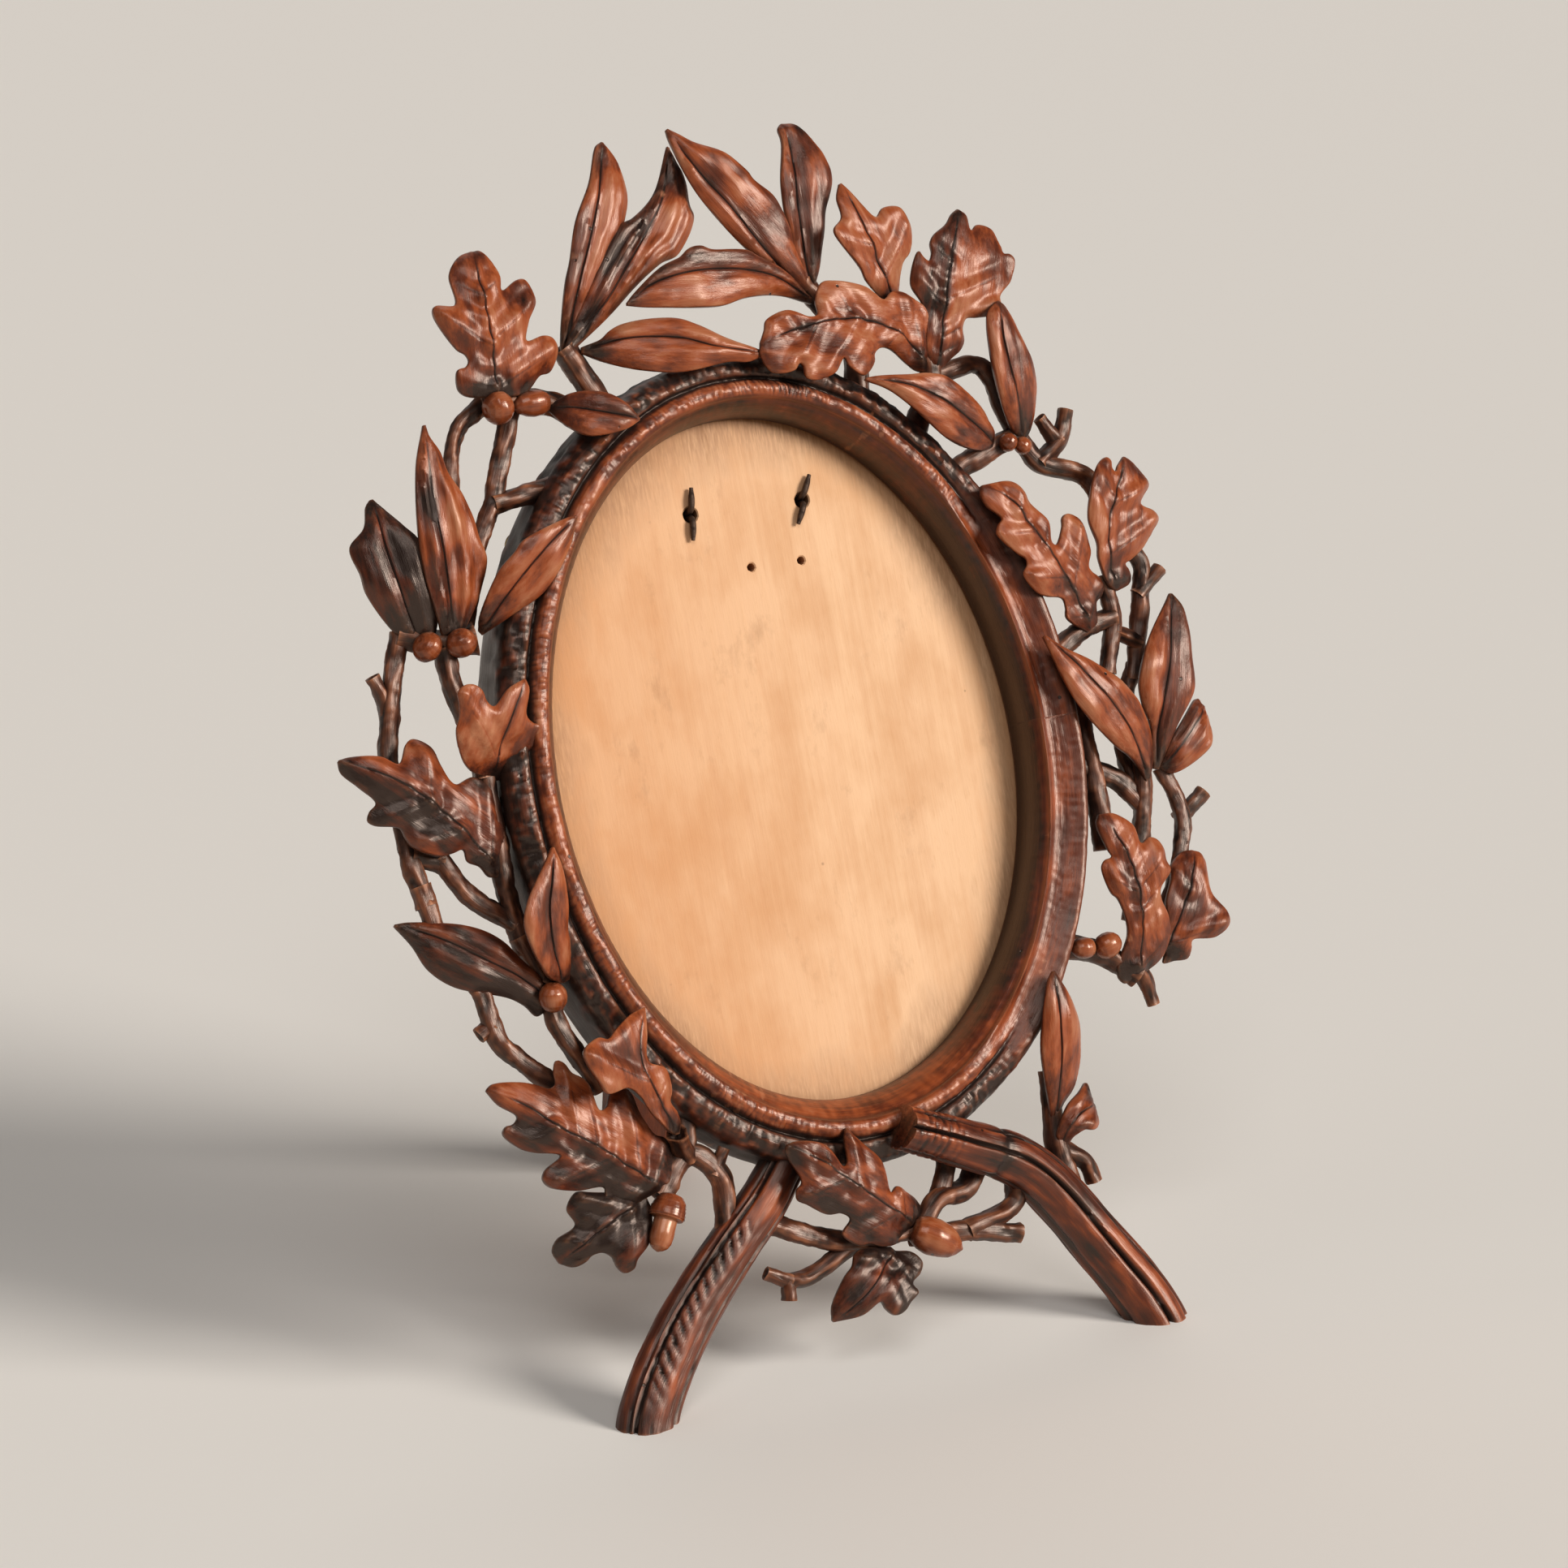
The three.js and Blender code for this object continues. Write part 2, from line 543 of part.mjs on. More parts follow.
function oakHalf(lobes, end, length, share) {
  const web = [
    [0, BASE_HALF_WIDTH],
    ...lobes.map(([at, reach]) => [at, reach * LOBE_WEB]),
    [1 - end / length, end * 0.75],
    [1, BASE_HALF_WIDTH / 2],
  ];
  const next = web.findIndex(([at]) => at >= share);
  const [fromAt, fromHalf] = web[Math.max(next - 1, 0)];
  const [toAt, toHalf] = web[next];
  const flat = toAt > fromAt ? lerp(fromHalf, toHalf, (share - fromAt) / (toAt - fromAt)) : toHalf;
  const reaches = lobes.map(([at, reach, breadth]) => {
    const tip = new THREE.Vector2(at * length, 0);
    const lean = lobeLean(at);
    tip.add(new THREE.Vector2(Math.cos(lean), Math.sin(lean)).multiplyScalar(reach - breadth));
    return reachOf(share * length, lobeLean(share), tip, breadth);
  });
  const tipReach = reachOf(share * length, lobeLean(share), new THREE.Vector2(length - end, 0), end);
  return Math.max(flat, tipReach, ...reaches);
}

function oakStations(leaf) {
  return (length) => Array.from({ length: OAK_STATIONS + 1 }, (_, i) => {
    const share = i / OAK_STATIONS;
    const lean = lobeLean(share);
    const edge = (lobes, side) => {
      const half = oakHalf(lobes, leaf.end, length, share);
      return [share * length + half * Math.cos(lean), side * half * Math.sin(lean)];
    };
    return { rib: share * length, left: edge(leaf.left, 1), right: edge(leaf.right, -1) };
  });
}

// A branch along a path, with a half width and half depth at each end
function branch(points, start, end, sides, gap) {
  const curve = new THREE.CatmullRomCurve3(points);
  const steps = 2 * (points.length - 1);
  const out = new THREE.Vector3(0, 0, 1);
  const rings = [];
  for (let i = 0; i <= steps; i++) {
    const share = i / steps;
    const centre = curve.getPoint(share);
    const tangent = curve.getTangent(share);
    const aside = new THREE.Vector3().crossVectors(out, tangent).normalize();
    const up = new THREE.Vector3().crossVectors(tangent, aside);
    const stretch = i === 0 ? -gap : i === steps ? gap : 0;
    centre.addScaledVector(tangent, stretch);
    const half = [0, 1].map((k) => lerp(start[k], end[k], share) + gap);
    rings.push(Array.from({ length: sides }, (_, j) => {
      const angle = (2 * Math.PI * (j + 0.5)) / sides;
      const point = centre.clone().addScaledVector(aside, half[0] * Math.cos(angle));
      return point.addScaledVector(up, half[1] * Math.sin(angle));
    }));
  }
  return loft(rings);
}

function twig({ path, rise, radius }, gap) {
  const points = path.map((place, i) => {
    const flat = onWreath(place);
    return new THREE.Vector3(flat.x, flat.y, lerp(rise[0], rise[1], i / (path.length - 1)));
  });
  return branch(points, [radius[0], radius[0]], [radius[1], radius[1]], TWIG_SIDES, gap);
}

function berry({ at, radius, rise, stem, stretch = 1 }, gap) {
  const centre = onWreath(at);
  const ball = new THREE.IcosahedronGeometry(radius + gap, 1);
  if (stem) {
    const along = centre.clone().sub(onWreath(stem));
    ball.scale(stretch, 1, 1);
    ball.rotateZ(along.angle());
  }
  return ball.translate(centre.x, centre.y, rise);
}

function spraySolid({ laurel = [], oak = [], twigs = [], fruit = [] }, gap) {
  return joined([
    ...laurel.map((leaf) => leafSolid(leaf, laurelStations(leaf), gap)),
    ...oak.map((leaf) => leafSolid(leaf, oakStations(leaf), gap)),
    ...twigs.map((one) => twig(one, gap)),
    ...fruit.map((one) => berry(one, gap)),
  ]);
}

// Groups: the whole object, the leaning frame in it, and the strut on its hinge
const easelFrame = new THREE.Group();
const leaning = new THREE.Group();
leaning.rotation.x = Math.PI / 2 - radians(LEAN);
leaning.position.z = CENTRE_HEIGHT;
easelFrame.add(leaning);

const eyeLength = 2 * EYE_RADIUS;
const shankApart = WIRE / 2 + 0.05; // each shank from the middle of the pin
const linkStep = WIRE + LINK_PLAY; // between the middles of the two wires that bear on each other
const axisBehindBoard = eyeLength - linkStep + WIRE / 2 + SEAT_GAP;
const strutBehindAxis = eyeLength + WIRE / 2 + SEAT_GAP;
const strutGroup = new THREE.Group();
strutGroup.position.set(HINGE_SHIFT, HINGE_HEIGHT, -axisBehindBoard);
strutGroup.rotation.x = radians(STRUT_OPEN);
leaning.add(strutGroup);
easelFrame.updateMatrixWorld(true);

function addPiece(group, name, geometry, material) {
  const mesh = new THREE.Mesh(geometry, material);
  mesh.name = name;
  group.add(mesh);
}

// The table top, as a block in a group's own frame
function tableIn(group) {
  const size = 6 * (CENTRE_HEIGHT + SIGHT_HALF_HEIGHT);
  const block = new THREE.BoxGeometry(size, size, size).translate(0, 0, -size / 2);
  return solidOf(block.applyMatrix4(group.matrixWorld.clone().invert()));
}

const hingePlaces = [-HINGE_SPACING / 2, HINGE_SPACING / 2];
const buttonPivotOut = (REBATE_WIDTH + RING_WIDTH) / 2;

// Angle on the ellipse for a clock direction
function ellipseAngle(clock) {
  const angle = radians(clock);
  return Math.atan2(Math.cos(angle) / SIGHT_HALF_HEIGHT, Math.sin(angle) / SIGHT_HALF_WIDTH);
}

// Ring, with a blind hole for each button's screw
const screwHole = SCREW_RADIUS + SCREW_CLEARANCE;
let ring = solidOf(sweepRing(ringSection));
for (const clock of BUTTON_CLOCKS) {
  const pivot = offSight(ellipseAngle(clock), buttonPivotOut);
  const hole = new THREE.CylinderGeometry(screwHole, screwHole, 2 * (SCREW_DEPTH + SCREW_CLEARANCE), 12);
  ring = ring.subtract(solidOf(hole.rotateX(Math.PI / 2).translate(pivot.x, pivot.y, 0)));
}
addPiece(leaning, 'oval_ring', geometryOf(ring), ringWood);

// Legs, down to the table. The left one springs from under the ring. The right one starts as a tongue on the ring's
// bead and peels off it. Each place has a height above the ring's back.
const groundAt = -(CENTRE_HEIGHT + LEG_Z * Math.sin(radians(LEAN))) / Math.cos(radians(LEAN));
const LEGS = {
  left_leg: { path: [[-168, -1], [-165, 8], [-160.5, 22]], rise: [LEG_Z, LEG_Z, LEG_Z], foot: -FOOT_SPREAD_LEFT },
  right_leg: { path: [[176, -6], [167, 2.5], [159, 16]], rise: [RING_DEPTH + 2, 14, 10], foot: FOOT_SPREAD_RIGHT },
};
function legSolid({ path, rise, foot }, gap) {
  const sole = new THREE.Vector2(foot, groundAt);
  const upper = path.map(onWreath);
  const shin = upper[upper.length - 1].clone().lerp(sole, 0.5);
  shin.x += Math.sign(foot) * SHIN_BOW;
  const beyond = sole.clone().add(new THREE.Vector2(Math.sign(foot) * SHIN_BOW, -FOOT_RUN_OUT));
  const points = [...upper, shin, sole, beyond].map((point, i) =>
    new THREE.Vector3(point.x, point.y, i < rise.length ? rise[i] : LEG_Z));
  return solidOf(branch(points, LEG_HIP, LEG_FOOT, 10, gap));
}

const ringCutter = solidOf(sweepRing(() => ringHull(SEAT_GAP)));
const cutters = [ringCutter];
for (const [name, leg] of Object.entries(LEGS)) {
  const solid = mainBody(legSolid(leg, 0).subtract(ringCutter).subtract(tableIn(leaning)));
  addPiece(leaning, name, geometryOf(solid), stainedWood);
  cutters.push(legSolid(leg, SEAT_GAP));
}

// Sprays, each cut clear of the ring, the legs and the sprays before it
for (const [name, spray] of Object.entries(SPRAYS)) {
  const whole = cutters.reduce((solid, cutter) => solid.subtract(cutter), spraySolid(spray, 0));
  addPiece(leaning, name, geometryOf(mainBody(whole)), stainedWood);
  cutters.push(spraySolid(spray, SEAT_GAP));
}

// Back board, flush with the back of the ring
const boardOutline = Array.from({ length: RING_STATIONS }, (_, i) =>
  offSight((2 * Math.PI * i) / RING_STATIONS, REBATE_WIDTH - BOARD_CLEARANCE));
const boardShape = new THREE.Shape(boardOutline);
const pinHole = WIRE + PIN_CLEARANCE;
for (const place of hingePlaces) {
  boardShape.holes.push(new THREE.Path().absarc(HINGE_SHIFT + place, HINGE_HEIGHT, pinHole, 0, 2 * Math.PI));
}
for (const place of NAIL_HOLE_PLACES) {
  boardShape.holes.push(new THREE.Path().absarc(place, NAIL_HOLE_HEIGHT, NAIL_HOLE_RADIUS, 0, 2 * Math.PI));
}
const board = new THREE.ExtrudeGeometry(boardShape, {
  depth: BOARD_THICKNESS,
  bevelEnabled: false,
  curveSegments: 6,
});
addPiece(leaning, 'back_board', board, paleWood);

// Split pin: one wire, bent to an eye, with both shanks side by side through the wood and their tails clinched over.
// Drawn with the far side of the eye at the origin, the shanks along +z and the eye in the y-z plane.
function splitPin(woodStart, woodThickness, tilt) {
  const tailHeight = woodStart + woodThickness + SEAT_GAP + WIRE / 2;
  const bend = WIRE * 0.7;
  const neck = Math.asin(shankApart / EYE_RADIUS);
  const lean = new THREE.Vector3(Math.sin(radians(tilt)), Math.cos(radians(tilt)), 0);
  const half = (side) => [
    new THREE.Vector3(0, side * shankApart, tailHeight).addScaledVector(lean, side * TAIL_LENGTH),
    new THREE.Vector3(0, side * shankApart, tailHeight).addScaledVector(lean, side * bend),
    new THREE.Vector3(0, side * shankApart, tailHeight - bend),
    new THREE.Vector3(0, side * shankApart, eyeLength),
  ];
  const eye = Array.from({ length: EYE_STATIONS + 1 }, (_, i) => {
    const angle = lerp(neck, 2 * Math.PI - neck, i / EYE_STATIONS);
    return new THREE.Vector3(0, EYE_RADIUS * Math.sin(angle), EYE_RADIUS * (1 + Math.cos(angle)));
  });
  const curve = new THREE.CatmullRomCurve3([...half(1), ...eye, ...half(-1).reverse()]);
  const frames = curve.computeFrenetFrames(PIN_STATIONS, false);
  const rings = frames.tangents.map((_, i) => {
    const centre = curve.getPointAt(i / PIN_STATIONS);
    return Array.from({ length: WIRE_SIDES }, (unused, j) => {
      const angle = (2 * Math.PI * j) / WIRE_SIDES;
      const point = centre.clone().addScaledVector(frames.normals[i], (WIRE / 2) * Math.cos(angle));
      return point.addScaledVector(frames.binormals[i], (WIRE / 2) * Math.sin(angle));
    });
  });
  return loft(rings);
}
hingePlaces.forEach((place, i) => {
  const side = i === 0 ? 'left' : 'right';
  const boardPin = splitPin(axisBehindBoard + linkStep, BOARD_THICKNESS, TAIL_TILTS[i]);
  boardPin.translate(HINGE_SHIFT + place, HINGE_HEIGHT, -axisBehindBoard - linkStep);
  addPiece(leaning, `${side}_board_pin`, boardPin, ironWire);
  const strutPin = splitPin(strutBehindAxis, STRUT_THICKNESS, 90);
  strutPin.rotateZ(Math.PI / 2).rotateX(Math.PI).translate(place, 0, 0);
  addPiece(strutGroup, `${side}_strut_pin`, strutPin, ironWire);
});

// Strut, drawn folded against the board with the hinge axis at the origin, bevelled at the top to stop on the board
const strutTopHalf = HINGE_SPACING / 2 + STRUT_MARGIN;
const strutReach = 1.2 * (CENTRE_HEIGHT + HINGE_HEIGHT);
const strutOutline = new THREE.Shape();
strutOutline.moveTo(-strutTopHalf, STRUT_HEAD);
strutOutline.lineTo(-strutTopHalf, -STRUT_HEAD);
strutOutline.lineTo(-STRUT_FOOT_WIDTH / 2, -strutReach);
strutOutline.lineTo(STRUT_FOOT_WIDTH / 2, -strutReach);
strutOutline.lineTo(strutTopHalf, -STRUT_HEAD);
strutOutline.lineTo(strutTopHalf, STRUT_HEAD);
for (const place of hingePlaces) {
  strutOutline.holes.push(new THREE.Path().absarc(place, 0, pinHole, 0, 2 * Math.PI));
}
const strutBlank = new THREE.ExtrudeGeometry(strutOutline, {
  depth: STRUT_THICKNESS,
  bevelEnabled: false,
  curveSegments: 6,
});
strutBlank.translate(0, 0, -strutBehindAxis - STRUT_THICKNESS);
const stopBlock = new THREE.BoxGeometry(2 * OUTER_HALF_WIDTH, 2 * OUTER_HALF_HEIGHT, 2 * RING_DEPTH);
stopBlock.translate(0, 0, axisBehindBoard - STOP_GAP + RING_DEPTH).rotateX(-radians(STRUT_OPEN));
const strut = solidOf(strutBlank).subtract(solidOf(stopBlock)).subtract(tableIn(strutGroup));
addPiece(strutGroup, 'strut', geometryOf(mainBody(strut)), strutWood);

// Turn buttons on the back of the ring: a round-ended brass plate on a round-headed screw
const buttonReach = buttonPivotOut - REBATE_WIDTH + BOARD_CLEARANCE + BUTTON_LAP;
function buttonPlate() {
  const half = BUTTON_WIDTH / 2;
  const outline = new THREE.Shape();
  outline.absarc(0, 0, half, Math.PI / 2, (3 * Math.PI) / 2);
  outline.absarc(buttonReach - half, 0, half * 0.8, -Math.PI / 2, Math.PI / 2);
  outline.holes.push(new THREE.Path().absarc(0, 0, screwHole, 0, 2 * Math.PI));
  return new THREE.ExtrudeGeometry(outline, { depth: BUTTON_THICKNESS, bevelEnabled: false, curveSegments: 6 });
}

function buttonScrew() {
  const headSeat = -(2 * SEAT_GAP + BUTTON_THICKNESS);
  const profile = [
    [0, SCREW_DEPTH],
    [SCREW_RADIUS * 0.5, SCREW_DEPTH - 1],
    [SCREW_RADIUS, SCREW_DEPTH - 2],
    [SCREW_RADIUS, headSeat],
    [SCREW_HEAD_RADIUS, headSeat],
    [SCREW_HEAD_RADIUS * 0.7, headSeat - SCREW_HEAD_HEIGHT * 0.8],
    [0, headSeat - SCREW_HEAD_HEIGHT],
  ].map(([radius, z]) => new THREE.Vector2(radius, z)).reverse();
  const body = new THREE.LatheGeometry(profile, 12).rotateX(Math.PI / 2);
  const slot = new THREE.BoxGeometry(3 * SCREW_HEAD_RADIUS, SCREW_SLOT, SCREW_SLOT * 2);
  return solidOf(body).subtract(solidOf(slot.translate(0, 0, headSeat - SCREW_HEAD_HEIGHT)));
}
BUTTON_CLOCKS.forEach((clock, i) => {
  const angle = ellipseAngle(clock);
  const pivot = offSight(angle, buttonPivotOut);
  const inward = sightNormal(angle).negate().angle();
  const plate = buttonPlate().rotateZ(inward).translate(pivot.x, pivot.y, -SEAT_GAP - BUTTON_THICKNESS);
  addPiece(leaning, `turn_button_${i + 1}`, plate, brass);
  const screw = geometryOf(buttonScrew()).rotateZ(inward).translate(pivot.x, pivot.y, 0);
  addPiece(leaning, `button_screw_${i + 1}`, screw, brass);
});

// Origin in the middle of the footprint's box, on the table
const box = new THREE.Box3().setFromObject(easelFrame, true);
const middle = box.getCenter(new THREE.Vector3());
easelFrame.position.set(-middle.x, -middle.y, -box.min.z);

export default easelFrame;
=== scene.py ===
"""Carved easel photograph frame: ring, legs, sprays, back board, hinge, strut and turn buttons.

Sizes are in millimetres on the frame laid flat: u to the right, v up the frame, w out of the picture,
with w = 0 on the back of the ring. FlatFrame.stand leans the points back, in metres.
"""

import logging
import math
from collections.abc import Callable
from dataclasses import dataclass
from enum import Enum
from functools import cached_property
from typing import Any

import bmesh
import bpy
import numpy as np
from mathutils import Matrix, Vector, noise
from mathutils.geometry import delaunay_2d_cdt


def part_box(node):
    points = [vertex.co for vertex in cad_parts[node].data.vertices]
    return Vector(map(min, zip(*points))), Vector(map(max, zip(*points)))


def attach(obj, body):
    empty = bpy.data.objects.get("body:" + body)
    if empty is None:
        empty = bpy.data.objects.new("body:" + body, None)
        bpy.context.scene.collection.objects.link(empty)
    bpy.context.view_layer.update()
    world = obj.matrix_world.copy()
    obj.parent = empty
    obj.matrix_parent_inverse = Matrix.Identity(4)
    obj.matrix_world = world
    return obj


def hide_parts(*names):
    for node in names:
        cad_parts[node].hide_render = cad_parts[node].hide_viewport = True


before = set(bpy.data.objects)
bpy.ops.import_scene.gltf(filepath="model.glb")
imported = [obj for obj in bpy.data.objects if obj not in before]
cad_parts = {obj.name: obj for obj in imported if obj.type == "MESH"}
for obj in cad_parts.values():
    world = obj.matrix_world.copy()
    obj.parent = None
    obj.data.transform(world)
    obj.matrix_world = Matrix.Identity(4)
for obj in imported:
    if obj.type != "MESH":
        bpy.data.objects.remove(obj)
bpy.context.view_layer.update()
LOG = logging.getLogger("easel_frame")

Place = tuple[float, float]
Span = tuple[float, float]
Face = tuple[np.ndarray, Callable[[np.ndarray], tuple[np.ndarray, np.ndarray]]]
Colour = tuple[float, float, float, float]
Triple = tuple[float, float, float]
Socket = bpy.types.NodeSocket

PLAIN = 0.5  # the tone of wood that is neither in a cut nor worn
NOISE_STRIDE = 17.3  # how far the noise moves from one seed to the next
HEX_ROW = 0.866  # from row to row of an even grid, as a share of its step
LEAF_STRIDE = np.array([61.0, 23.0, 0.0])  # how far the fibres move from one leaf to the next


def wave_noise(points: np.ndarray, scale: Triple, seed: float) -> np.ndarray:
    """Soft, seeded noise.

    Args:
        points: any array whose last axis is x, y, z.
        scale: factors for x, y and z.
        seed: moves the pattern.

    Returns:
        About -1 to 1 at each point.
    """
    flat = points.reshape(-1, 3) * np.array(scale) + seed * NOISE_STRIDE
    return np.array([noise.noise(point) for point in flat]).reshape(points.shape[:-1])


def ease(value: np.ndarray, low: float, high: float) -> np.ndarray:
    """Smooth step from 0 at low to 1 at high.

    Args:
        value: where to read it.
        low: the start of the step.
        high: its end.

    Returns:
        0 to 1 for each value.
    """
    share = np.clip((value - low) / (high - low), 0, 1)
    return share * share * (3 - 2 * share)


def bump(value: np.ndarray, centre: float, width: float) -> np.ndarray:
    """A soft bell of height 1 round centre, with the given half width."""
    return np.exp(-(((value - centre) / width) ** 2))


def smooth_path(points: np.ndarray, count: int) -> np.ndarray:
    """An even curve through a few points.

    Args:
        points: the points it passes through.
        count: how many samples to take.

    Returns:
        The samples, one per row.
    """
    padded = np.vstack([2 * points[0] - points[1], points, 2 * points[-1] - points[-2]])
    spans = len(points) - 1
    samples = []
    for at in np.linspace(0, spans, count):
        start = min(int(at), spans - 1)
        share = at - start
        before, first, last, after = padded[start : start + 4]
        chords = (first - before, last - first, after - last)
        into, over, out = [max(np.linalg.norm(chord) ** 0.5, 1e-4) for chord in chords]
        leave = chords[0] / into - (last - before) / (into + over) + chords[1] / over
        arrive = chords[1] / over - (after - first) / (over + out) + chords[2] / out
        leave, arrive = leave * over, arrive * over
        bend = 2 * first - 2 * last + leave + arrive
        turn = -3 * first + 3 * last - 2 * leave - arrive
        samples.append(first + share * (leave + share * (turn + share * bend)))
    return np.array(samples)


def even_path(points: np.ndarray, step: float) -> np.ndarray:
    """The smooth curve through some points, in even steps.

    Args:
        points: the points it passes through.
        step: millimetres between samples, about.

    Returns:
        The samples, from the first point to the last.
    """
    curve = smooth_path(points, 20 * len(points))
    run = np.concatenate([[0], np.cumsum(np.linalg.norm(np.diff(curve, axis=0), axis=1))])
    at = np.linspace(0, run[-1], max(round(run[-1] / step), 2) + 1)
    return np.column_stack([np.interp(at, run, axis) for axis in curve.T])


def nearest(points: np.ndarray, line: np.ndarray) -> tuple[np.ndarray, np.ndarray]:
    """Which sample of a line lies nearest to each point.

    Args:
        points: u and v of each.
        line: the samples.

    Returns:
        The sample's number and how far away it is, for each point.
    """
    away = np.linalg.norm(points[:, None] - line[None], axis=-1)
    pick = away.argmin(1)
    return pick, away[np.arange(len(points)), pick]


def within(points: np.ndarray, loop: np.ndarray) -> np.ndarray:
    """Which points lie inside a closed outline.

    Args:
        points: u and v of each.
        loop: the outline's corners in order.

    Returns:
        True or False for each point.
    """
    ahead = np.roll(loop, -1, 0)
    spans = (loop[None, :, 1] > points[:, None, 1]) != (ahead[None, :, 1] > points[:, None, 1])
    climb = np.where(np.abs(ahead[:, 1] - loop[:, 1]) < 1e-9, 1e-9, ahead[:, 1] - loop[:, 1])
    lean = (ahead[:, 0] - loop[:, 0]) / climb
    cross = loop[:, 0] + (points[:, None, 1] - loop[None, :, 1]) * lean[None, :]
    return (spans & (points[:, None, 0] < cross)).sum(1) % 2 == 1


def hex_grid(loop: np.ndarray, step: float, margin: float) -> np.ndarray:
    """Evenly spread points inside an outline.

    Args:
        loop: the outline.
        step: millimetres from point to point.
        margin: how far they stay from the outline.

    Returns:
        u and v of each point.
    """
    low, high = loop.min(0), loop.max(0)
    rows = np.arange(low[1], high[1], step * HEX_ROW)
    columns = np.arange(low[0], high[0], step)
    grid = np.array([(x + (step / 2 if n % 2 else 0), y) for n, y in enumerate(rows) for x in columns])
    grid = grid[within(grid, loop)]
    return grid[nearest(grid, loop)[1] > margin]


@dataclass(frozen=True)
class FlatFrame:
    """How the frame is set out on the bench and how it stands."""

    lean: float = math.radians(21)
    centre_height: float = 111
    sight: Span = (52.5, 72)
    ring_width: float = 9.5
    ring_depth: float = 15
    rebate_width: float = 3
    board_clearance: float = 0.4

    def shift(self) -> np.ndarray:
        """Where the middle of the opening's back stands, read from the board's own box.

        Returns:
            x, y, z in millimetres.
        """
        low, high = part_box("back_board")
        reach = (self.sight[1] + self.rebate_width - self.board_clearance) * math.sin(self.lean)
        return np.array([500 * (low.x + high.x), 1000 * high.y - reach, self.centre_height])

    def stand(self, points: np.ndarray) -> np.ndarray:
        """Lean flat points back and stand them on the table.

        Args:
            points: u, v, w in millimetres.

        Returns:
            x, y, z in metres.
        """
        u, v, w = np.moveaxis(points, -1, 0)
        back = -w * math.cos(self.lean) + v * math.sin(self.lean)
        up = w * math.sin(self.lean) + v * math.cos(self.lean)
        return (np.stack([u, back, up], -1) + self.shift()) / 1000

    def on_wreath(self, place: Place) -> np.ndarray:
        """A place on the wreath.

        Args:
            place: degrees clockwise from the top, and millimetres outside the ring's edge.

        Returns:
            u and v.
        """
        angle = math.radians(place[0])
        aim = np.array([math.sin(angle), math.cos(angle)])
        edge = 1 / np.linalg.norm(aim / (np.array(self.sight) + self.ring_width))
        return aim * (edge + place[1])

    def off_sight(self, angle: np.ndarray, out: np.ndarray) -> np.ndarray:
        """Points at a distance outside the sight edge.

        Args:
            angle: the ellipse's own angle.
            out: millimetres outside the edge.

        Returns:
            u and v on the last axis.
        """
        wide, high = self.sight
        normal = np.stack([np.cos(angle) / wide, np.sin(angle) / high], -1)
        normal /= np.linalg.norm(normal, axis=-1, keepdims=True)
        edge = np.stack([wide * np.cos(angle), high * np.sin(angle)], -1)
        return edge + normal * np.asarray(out)[..., None]

    def ellipse_angle(self, clock: float) -> float:
        """The ellipse's own angle for a clock direction in degrees."""
        angle = math.radians(clock)
        return math.atan2(math.cos(angle) / self.sight[1], math.sin(angle) / self.sight[0])


FLAT = FlatFrame()


